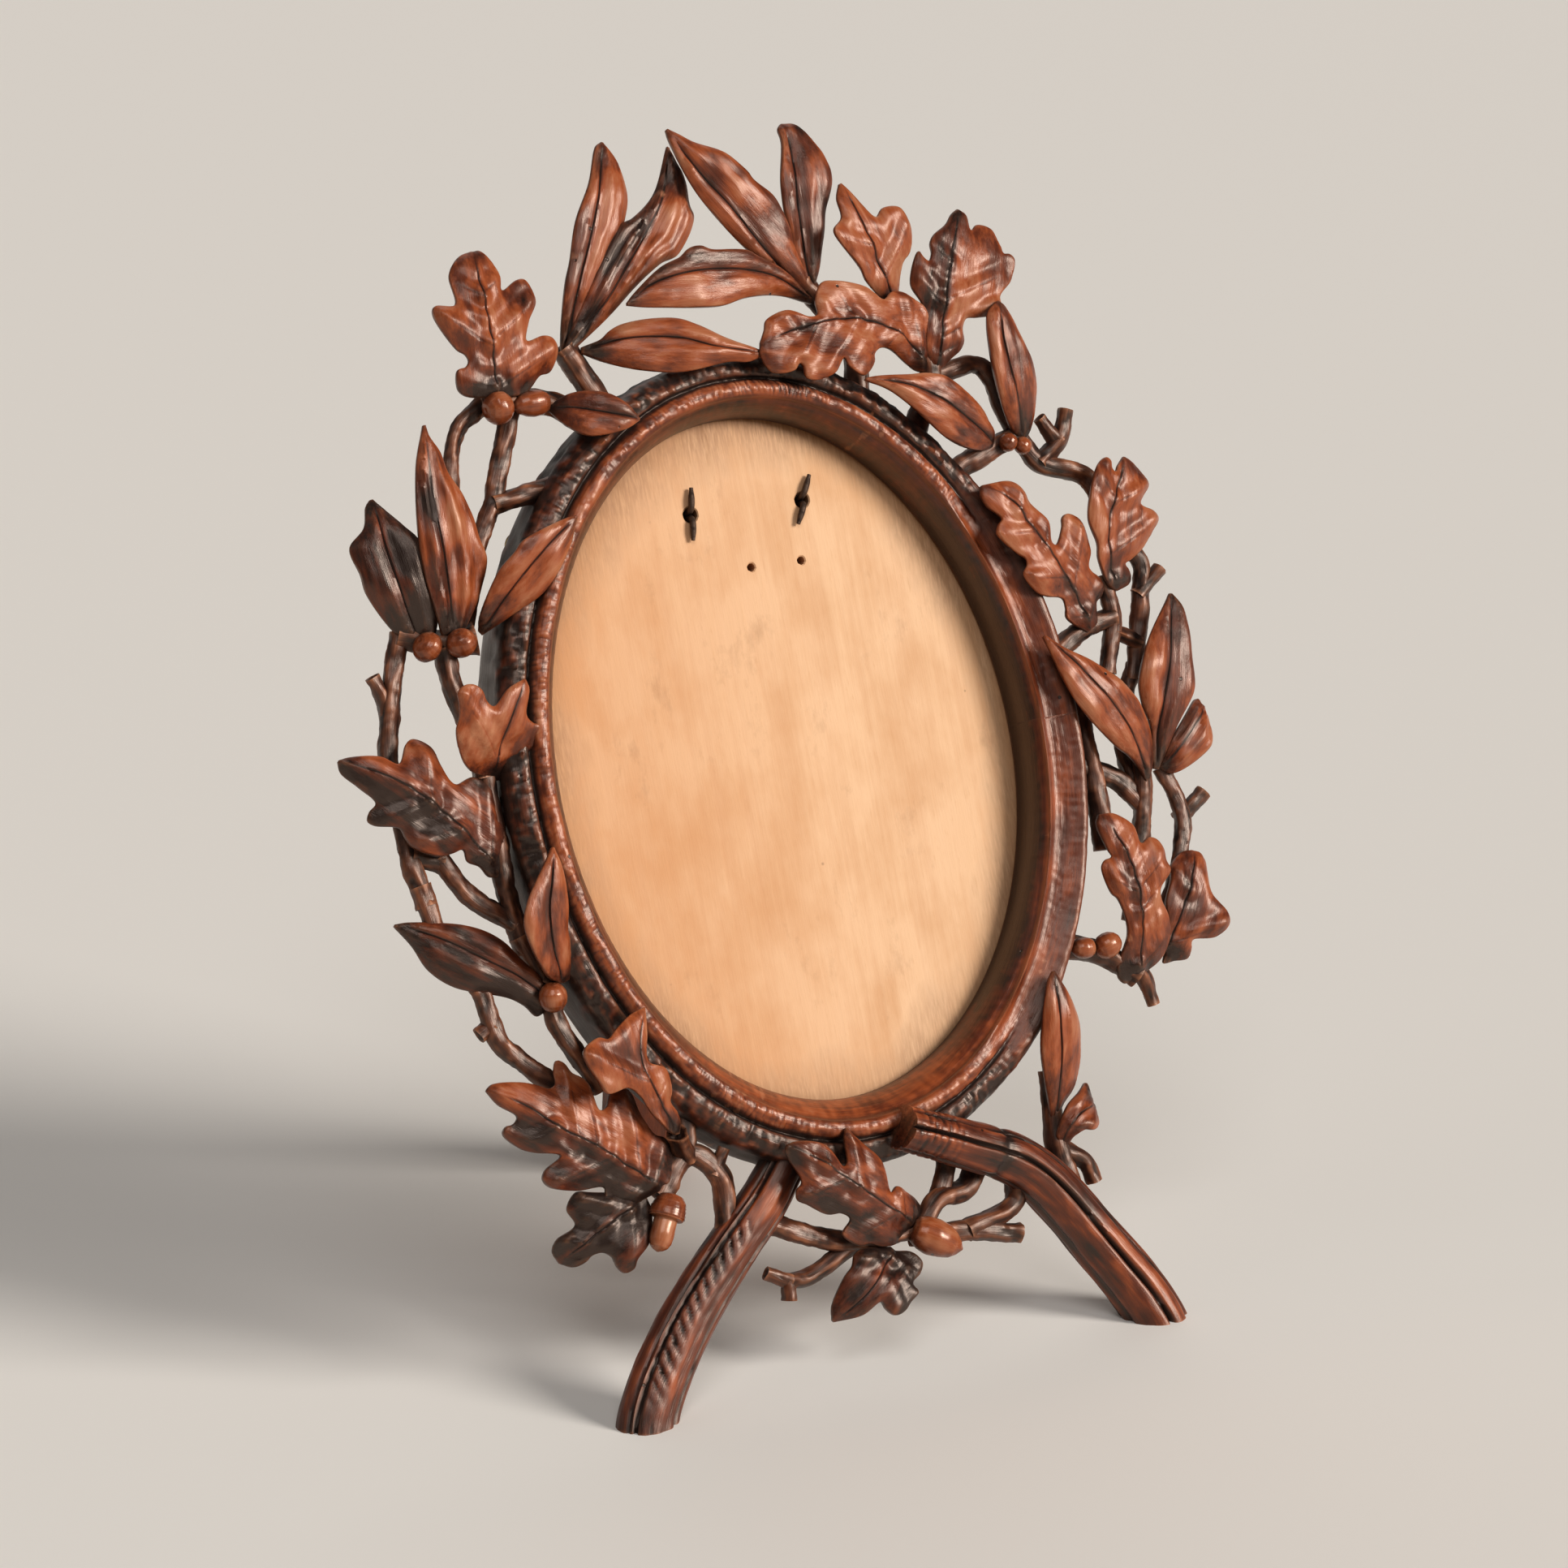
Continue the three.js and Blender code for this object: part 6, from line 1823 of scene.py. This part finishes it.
@dataclass(frozen=True)
class SnipeHinge:
    """Two split pins through the board, linked eye in eye with two through the strut."""

    height: float = 51.5
    spacing: float = 24.5
    shift: float = 1.8
    wire: float = 1.3
    eye: float = 2
    play: float = 0.3
    seat: float = 0.3
    tail: float = 4.6
    parting: float = 0.05
    bend: float = 0.7
    tilts: Span = (10, 28)
    strut_open: float = 39
    board: float = 5.5
    strut: float = 6
    sides: int = 14
    count: int = 190

    @property
    def places(self) -> Span:
        """Where the pins stand, from the middle of the pair."""
        return (-self.spacing / 2, self.spacing / 2)

    @property
    def behind_board(self) -> float:
        """From the board's back to the hinge axis."""
        return 2 * self.eye - self.wire - self.play + self.wire / 2 + self.seat

    @property
    def behind_axis(self) -> float:
        """From the hinge axis to the strut's face."""
        return 2 * self.eye + self.wire / 2 + self.seat

    def on_strut(self, points: np.ndarray) -> np.ndarray:
        """Move points from the folded strut's own layout to where the open strut stands.

        Args:
            points: drawn with the hinge axis at the origin and the strut flat against the board.

        Returns:
            The points on the flat frame.
        """
        cos, sin = math.cos(math.radians(self.strut_open)), math.sin(math.radians(self.strut_open))
        u, v, w = np.moveaxis(points, -1, 0)
        turned = np.stack([u, v * cos - w * sin, v * sin + w * cos], -1)
        return turned + np.array([self.shift, self.height, -self.behind_board])

    def pin(self, wood_start: float, wood: float, tilt: float) -> Shape:
        """One split pin, drawn with the far side of its eye at the origin.

        Args:
            wood_start: where the wood begins.
            wood: how thick it is.
            tilt: degrees that the clinched tails lean.

        Returns:
            The bent wire.
        """
        apart = self.wire / 2 + self.parting
        tail_up = wood_start + wood + self.seat + self.wire / 2
        bend = self.wire * self.bend
        neck = math.asin(apart / self.eye)
        lean = np.array([math.sin(math.radians(tilt)), math.cos(math.radians(tilt)), 0])

        def shank(side: int) -> list[np.ndarray]:
            """One shank.

            Args:
                side: 1 for the first and -1 for the other.

            Returns:
                Its points from the tail down to the eye.
            """
            levels = (tail_up, tail_up - bend, 2 * self.eye)
            top, down, neck_up = [np.array([0, side * apart, level]) for level in levels]
            return [top + lean * side * self.tail, top + lean * side * bend, down, neck_up]

        turn = np.linspace(neck, 2 * math.pi - neck, 11)
        loop = np.column_stack([0 * turn, self.eye * np.sin(turn), self.eye * (1 + np.cos(turn))])
        line = smooth_path(np.array([*shank(1), *loop, *shank(-1)[::-1]]), self.count)
        tangent = np.gradient(line, axis=0)
        tangent /= np.linalg.norm(tangent, axis=1, keepdims=True)
        side_way = np.zeros_like(line)
        side_way[0] = np.cross(tangent[0], [0.0, 0.0, 1.0])
        for step in range(1, self.count):
            carried = side_way[step - 1] - tangent[step] * (side_way[step - 1] @ tangent[step])
            side_way[step] = carried / np.linalg.norm(carried)
        other = np.cross(tangent, side_way)
        angle = np.linspace(0, 2 * math.pi, self.sides, endpoint=False)[None, :]
        share = np.linspace(-1, 1, self.count)[:, None]
        radius = self.wire / 2 * (0.97 - 0.35 * ease(np.abs(share), 0.94, 1.0))
        offset = side_way[:, None] * (np.cos(angle) * radius)[..., None]
        offset = offset + other[:, None] * (np.sin(angle) * radius)[..., None]
        body = line[:, None] + offset
        return Shape.loft(body, body * 1.0, np.full(body.shape[:2], PLAIN))

    def make(self, frame_maker: Maker, strut_maker: Maker) -> None:
        """Add the four pins.

        Args:
            frame_maker: makes the board's pins.
            strut_maker: makes the strut's pins.
        """
        link = self.wire + self.play
        for side, place, tilt in zip(("left", "right"), self.places, self.tilts):
            pin = self.pin(self.behind_board + link, self.board, tilt)
            pin.points = pin.points + np.array([self.shift + place, self.height, -self.behind_board - link])
            frame_maker.add(f"{side}_board_wire", pin, (f"{side}_board_pin",), sharp=60)
            pin = self.pin(self.behind_axis, self.strut, 90)
            u, v, w = pin.points.T
            pin.points = self.on_strut(np.column_stack([-v + place, -u, -w]))
            strut_maker.add(f"{side}_strut_wire", pin, (f"{side}_strut_pin",), sharp=60)


HINGE = SnipeHinge()


def round_hole(centre: Place, radius: float, seed: int, uneven: float = 0.0) -> np.ndarray:
    """Outline of a drilled hole.

    Args:
        centre: u and v of its middle.
        radius: its size.
        seed: moves the unevenness.
        uneven: share of the radius by which it wanders.

    Returns:
        Points round the hole.
    """
    turn = np.linspace(0, 2 * math.pi, 24, endpoint=False)
    aim = np.stack([np.cos(turn), np.sin(turn)], -1)
    wobble = 1 - uneven * np.abs(wave_noise(np.pad(aim, ((0, 0), (0, 1))), (1.5, 1.5, 1), seed))
    return np.array(centre) + aim * (radius * wobble)[:, None]


@dataclass(frozen=True)
class BackBoard:
    """The loose board in the rebate, bored for the pins, with two old nail holes."""

    maker: Maker
    thickness: float = 5.5
    pin_hole: float = 1.6
    nail_hole: float = 0.9
    nail_height: float = 39.5
    nail_places: Span = (0.5, 11.5)
    edge: float = 0.25
    corners: int = 200

    def make(self) -> None:
        """Add the board."""
        turn = np.linspace(0, 2 * math.pi, self.corners, endpoint=False)
        out = FLAT.rebate_width - FLAT.board_clearance
        outlines = [FLAT.off_sight(turn, np.full(self.corners, out))]
        for at in HINGE.places:
            outlines.append(round_hole((HINGE.shift + at, HINGE.height), self.pin_hole, 1, 0.1))
        for at in self.nail_places:
            outlines.append(round_hole((at, self.nail_height), self.nail_hole, 4, 0.3))
        board = Shape.plate(outlines, self.thickness, self.edge)
        self.maker.add("bare_back_board", board, ("back_board",), sharp=30)


@dataclass(frozen=True)
class Strut:
    """The tapered strut, eased along its edges, cut to stop on the board and to stand level."""

    maker: Maker
    margin: float = 6
    head: float = 14
    foot_width: float = 14
    stop_gap: float = 0.3
    pin_hole: float = 1.6
    edge: float = 0.5
    spare: float = 1.2

    def make(self) -> None:
        """Add the strut."""
        top = HINGE.spacing / 2 + self.margin
        reach = self.spare * (FLAT.centre_height + HINGE.height)
        foot = self.foot_width / 2
        left = [(-top, self.head), (-top, -self.head), (-foot, -reach)]
        right = [(foot, -reach), (top, -self.head), (top, self.head)]
        holes = [round_hole((at, 0), self.pin_hole, 2, 0.1) for at in HINGE.places]
        shape = Shape.plate([np.array(left + right), *holes], HINGE.strut, self.edge)
        shape.points = shape.points + np.array([0, 0, -HINGE.behind_axis - HINGE.strut])
        shape.points = HINGE.on_strut(shape.points)
        stop = np.array([0, 0, -self.stop_gap])
        shape = self.sawn(shape, stop, np.array([0.0, 0.0, 1.0]))
        ground = np.array([0, -FLAT.centre_height / math.cos(FLAT.lean), 0])
        shape = self.sawn(shape, ground, np.array([0.0, -math.cos(FLAT.lean), -math.sin(FLAT.lean)]))
        plank = HINGE.on_strut(np.eye(3)) - HINGE.on_strut(np.zeros((1, 3)))
        shape.grain = (shape.points @ plank.T)[:, [1, 0, 2]]
        self.maker.add("strut_plank", shape, ("strut",), sharp=30)

    @staticmethod
    def sawn(shape: Shape, point: np.ndarray, way: np.ndarray) -> Shape:
        """Saw off what lies beyond a plane and close the cut.

        Args:
            shape: what is sawn.
            point: a point on the plane.
            way: the direction of the waste.

        Returns:
            The shape that is left.
        """
        work = bmesh.new()
        for place in shape.points:
            work.verts.new(place)
        work.verts.ensure_lookup_table()
        for face in shape.faces:
            work.faces.new([work.verts[i] for i in face])
        everything = work.verts[:] + work.edges[:] + work.faces[:]
        cut = bmesh.ops.bisect_plane(work, geom=everything, plane_co=point, plane_no=way, clear_outer=True)
        rim = [part for part in cut["geom_cut"] if isinstance(part, bmesh.types.BMEdge)]
        bmesh.ops.triangle_fill(work, edges=rim, use_beauty=True)
        points = np.array([v.co for v in work.verts])
        work.verts.index_update()
        faces = [[v.index for v in face.verts] for face in work.faces]
        work.free()
        return Shape(points, faces, points[:, [1, 0, 2]], np.full(len(points), PLAIN))


@dataclass(frozen=True)
class TurnButtons:
    """Four brass turn buttons on the back of the ring, each on a round-headed screw."""

    clocks: tuple[float, ...] = (40, 140, 220, 320)
    width: float = 6
    thickness: float = 1.2
    lap: float = 5
    seat: float = 0.3
    hole: float = 1.3
    screw: float = 1
    screw_depth: float = 6
    head: float = 2.1
    head_height: float = 1.3
    slot: float = 0.6
    thread: float = 0.8
    toe: float = 0.8
    edge: float = 0.22

    @property
    def pivot_out(self) -> float:
        """From the sight edge to each screw."""
        return (FLAT.rebate_width + FLAT.ring_width) / 2

    def plate(self) -> Shape:
        """One button with its screw hole at the origin and its tongue along u.

        Returns:
            The shape, lying on w = 0.
        """
        half = self.width / 2
        reach = self.pivot_out - FLAT.rebate_width + FLAT.board_clearance + self.lap
        heel = np.linspace(math.pi / 2, 3 * math.pi / 2, 24)
        toe = np.linspace(-math.pi / 2, math.pi / 2, 24)
        outline = np.concatenate([
            np.column_stack([half * np.cos(heel), half * np.sin(heel)]),
            np.column_stack([reach - half + half * self.toe * np.cos(toe), half * self.toe * np.sin(toe)]),
        ])
        return Shape.plate([outline, round_hole((0, 0), self.hole, 3)], self.thickness, self.edge)

    def screw_shape(self) -> Shape:
        """One screw with a slotted round head, pointing along w.

        Returns:
            The shape, with the ring's back at w = 0.
        """
        seat = -(2 * self.seat + self.thickness)
        dome = np.linspace(0, math.pi / 2, 9)
        head = [(self.head * math.sin(t), seat - self.head_height * math.cos(t)) for t in dome]
        thread = np.linspace(seat + 0.1, self.screw_depth - 2, 60)
        shank = [(self.screw * (0.9 + 0.1 * math.cos(2 * math.pi * z / self.thread)), z) for z in thread]
        point = [(self.screw * 0.5, self.screw_depth - 1), (0.05, self.screw_depth)]
        profile = np.array([(0.02, head[0][1]), *head[1:], *shank, *point])
        turn = np.linspace(0, 2 * math.pi, 40, endpoint=False)[None, :]
        u, v = profile[:, :1] * np.cos(turn), profile[:, :1] * np.sin(turn)
        w = profile[:, 1:] + 0 * turn
        floor = seat - self.head_height + self.slot
        in_slot = (np.abs(v) < self.slot / 2) & (w < floor)
        body = np.stack([u, v, np.where(in_slot, floor, w)], -1)
        return Shape.loft(body, body * 1.0, np.full(body.shape[:2], PLAIN))

    def make(self, finish: bpy.types.Material) -> None:
        """Add the buttons and their screws.

        Args:
            finish: the brass.
        """
        for number, clock in enumerate(self.clocks, 1):
            angle = FLAT.ellipse_angle(clock)
            pivot = FLAT.off_sight(np.array(angle), np.array(self.pivot_out))
            inward = FLAT.off_sight(np.array(angle), np.array(0.0)) - pivot
            along = inward / np.linalg.norm(inward)
            turn = np.array([[along[0], -along[1], 0], [along[1], along[0], 0], [0, 0, 1]])
            plate, screw = self.plate(), self.screw_shape()
            plate.points = plate.points @ turn.T + np.array([*pivot, -self.seat - self.thickness])
            screw.points = screw.points @ turn.T + np.array([*pivot, 0])
            swivel, fixed = Maker(finish, "button_brass", f"button_{number}"), Maker(finish, "screw_brass")
            swivel.add(f"brass_button_{number}", plate, (f"turn_button_{number}",), sharp=35)
            fixed.add(f"brass_screw_{number}", screw, (f"button_screw_{number}",), sharp=35)


@dataclass(frozen=True)
class Lamp:
    """A distant soft light: where it stands, how wide it looks in degrees and how strong it is."""

    name: str
    azimuth: float
    elevation: float
    spread: float
    strength: float
    colour: Triple


@dataclass(frozen=True)
class Studio:
    """Camera, soft lights and a plain pale floor."""

    azimuth: float = -24.712
    elevation: float = 15.916
    distance: float = 980.396
    aside: float = -4.023
    above: float = -5.358
    roll: float = 1.8
    focal: float = 6135.116
    image: float = 1932
    sensor: float = 36
    floor_size: float = 40
    floor_colour: Colour = (0.92, 0.865, 0.80, 1)
    floor_bounce: Colour = (0.42, 0.30, 0.20, 1)
    sky_colour: Colour = (0.80, 0.79, 0.78, 1)
    sky_strength: float = 0.07
    lamps: tuple[Lamp, ...] = (
        Lamp("key", 40, 24, 22, 3.1, (1.0, 0.97, 0.93)),
        Lamp("top_soft", -20, 48, 30, 0.75, (0.98, 0.985, 1.0)),
        Lamp("left_window", -100, 35, 40, 0.14, (1.0, 0.97, 0.94)),
        Lamp("back_soft", 165, 40, 50, 0.4, (1.0, 0.98, 0.95)),
    )

    @staticmethod
    def axes(azimuth: float, elevation: float) -> tuple[Vector, Vector, Vector]:
        """How a view of the frame is turned.

        Args:
            azimuth: degrees round the frame, from the front to the right.
            elevation: degrees above the table.

        Returns:
            Directions to the right, up and back towards the eye.
        """
        a, e = math.radians(azimuth), math.radians(elevation)
        back = Vector((math.sin(a) * math.cos(e), -math.cos(a) * math.cos(e), math.sin(e)))
        right = Vector((math.cos(a), math.sin(a), 0))
        return right, back.cross(right), back

    def make(self) -> None:
        """Add the camera, lights and floor."""
        middle = Vector(FLAT.stand(np.array([0.0, 0.0, FLAT.ring_depth])))
        right, up, back = self.axes(self.azimuth, self.elevation)
        camera = bpy.data.objects.new("camera", bpy.data.cameras.new("camera"))
        camera.data.sensor_width = self.sensor
        camera.data.lens = self.focal / self.image * self.sensor
        tilt = math.radians(self.roll)
        level = right * math.cos(tilt) - up * math.sin(tilt)
        upright = up * math.cos(tilt) + right * math.sin(tilt)
        turn = Matrix((level, upright, back)).transposed().to_4x4()
        place = middle + (back * self.distance + right * self.aside + up * self.above) / 1000
        camera.matrix_world = Matrix.Translation(place) @ turn
        bpy.context.scene.collection.objects.link(camera)
        bpy.context.scene.camera = camera
        for lamp in self.lamps:
            self.hang(lamp)
        self.lay_floor()
        world = bpy.data.worlds.new("studio")
        world.use_nodes = True
        sky = world.node_tree.nodes["Background"]
        sky.inputs["Color"].default_value = self.sky_colour
        sky.inputs["Strength"].default_value = self.sky_strength
        bpy.context.scene.world = world
        bpy.context.scene.view_settings.view_transform = "Standard"

    def hang(self, lamp: Lamp) -> None:
        """Hang one light.

        Args:
            lamp: where it stands and how strong it is.
        """
        light = bpy.data.lights.new(lamp.name, "SUN")
        light.energy, light.angle, light.color = lamp.strength, math.radians(lamp.spread), lamp.colour
        holder = bpy.data.objects.new(lamp.name, light)
        holder.matrix_world = Matrix(self.axes(lamp.azimuth, lamp.elevation)).transposed().to_4x4()
        bpy.context.scene.collection.objects.link(holder)

    def lay_floor(self) -> None:
        """Lay the floor under the frame."""
        half = self.floor_size / 2
        mesh = bpy.data.meshes.new("floor")
        corners = [(-half, -half, 0), (half, -half, 0), (half, half, 0), (-half, half, 0)]
        mesh.from_pydata(corners, [], [(0, 1, 2, 3)])
        sheet = NodeSheet("floor", Roughness=0.8, Specular_IOR_Level=0.2)
        rays = sheet.add("LightPath").outputs
        seen = sheet.math("ADD", rays["Is Camera Ray"], rays["Is Glossy Ray"])
        seen = sheet.math("ADD", seen, rays["Is Transmission Ray"])
        sheet.reach("Base Color", sheet.mix(seen, self.floor_bounce, self.floor_colour))
        mesh.materials.append(sheet.material)
        floor = bpy.data.objects.new("floor", mesh)
        bpy.context.scene.collection.objects.link(floor)


LEFT_FRONT_LEG = Leg(
    "left_leg", ((-168, -1), (-165, 8), (-160.5, 22)), (7.5, 7.5, 7.5), -54.5,
    grooves=(
        Groove(146, 4, 0.09), Groove(132, 4.5, 0.17), Groove(46, 4, 0.15), Groove(200, 7, 0.10),
        Groove(75, 9, 0.04),
    ),
    notches=112,
)
RIGHT_FRONT_LEG = Leg(
    "right_leg", ((176, -6), (167, 2.5), (159, 16)), (17, 14, 10), 57,
    grooves=(
        Groove(88, 4.2, 0.26), Groove(168, 8, 0.13), Groove(196, 5, 0.12), Groove(40, 6, 0.10),
        Groove(128, 10, 0.03),
    ),
    log_cuts=0.3,
)

LEAF_WOOD = StainedWood("leaf_wood")
TWIG_WOOD = StainedWood(
    "twig_wood", body=(0.10, 0.026, 0.010, 1), warm=(0.24, 0.075, 0.030, 1), rough=(0.32, 0.52), wear=0.8,
)
FRUIT_WOOD = StainedWood(
    "fruit_wood", body=(0.15, 0.030, 0.009, 1), warm=(0.30, 0.066, 0.018, 1), rough=(0.22, 0.36), fibre=0.12,
)
RING_WOOD = StainedWood("ring_wood_finish", rough=(0.30, 0.50), fibre=0.3)
STRUT_WOOD = StainedWood("strut_wood_finish", rough=(0.45, 0.68), fibre=0.5, wear=0.3)
IRON = DullMetal("iron_wire_finish", (0.075, 0.045, 0.03, 1), (0.022, 0.012, 0.008, 1), 0.7, (0.45, 0.75))
BRASS = DullMetal("brass_finish", (0.52, 0.36, 0.13, 1), (0.14, 0.075, 0.03, 1), 1.0, (0.28, 0.55))


def main() -> None:
    """Build the frame piece by piece, logging each piece's faces."""
    logging.basicConfig(level=logging.INFO, format="%(name)s %(message)s")
    OvalRing(Maker(RING_WOOD.make(), "ring_wood")).make()
    carver = Maker(LEAF_WOOD.make(), "carved_wood")
    twigs, fruit = Maker(TWIG_WOOD.make(), "carved_wood"), Maker(FRUIT_WOOD.make(), "carved_wood")
    LEFT_FRONT_LEG.make(carver, 3)
    RIGHT_FRONT_LEG.make(carver, 5)
    for number, spray in enumerate(WREATH, 1):
        spray.make(carver, twigs, fruit, 20 * number)
    BackBoard(Maker(BareBoard().make(), "board_wood")).make()
    iron = IRON.make()
    HINGE.make(Maker(iron, "iron_wire"), Maker(iron, "iron_wire", "strut"))
    Strut(Maker(STRUT_WOOD.make(), "strut_wood", "strut")).make()
    TurnButtons().make(BRASS.make())
    Studio().make()
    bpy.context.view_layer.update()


if __name__ == "__main__":
    main()
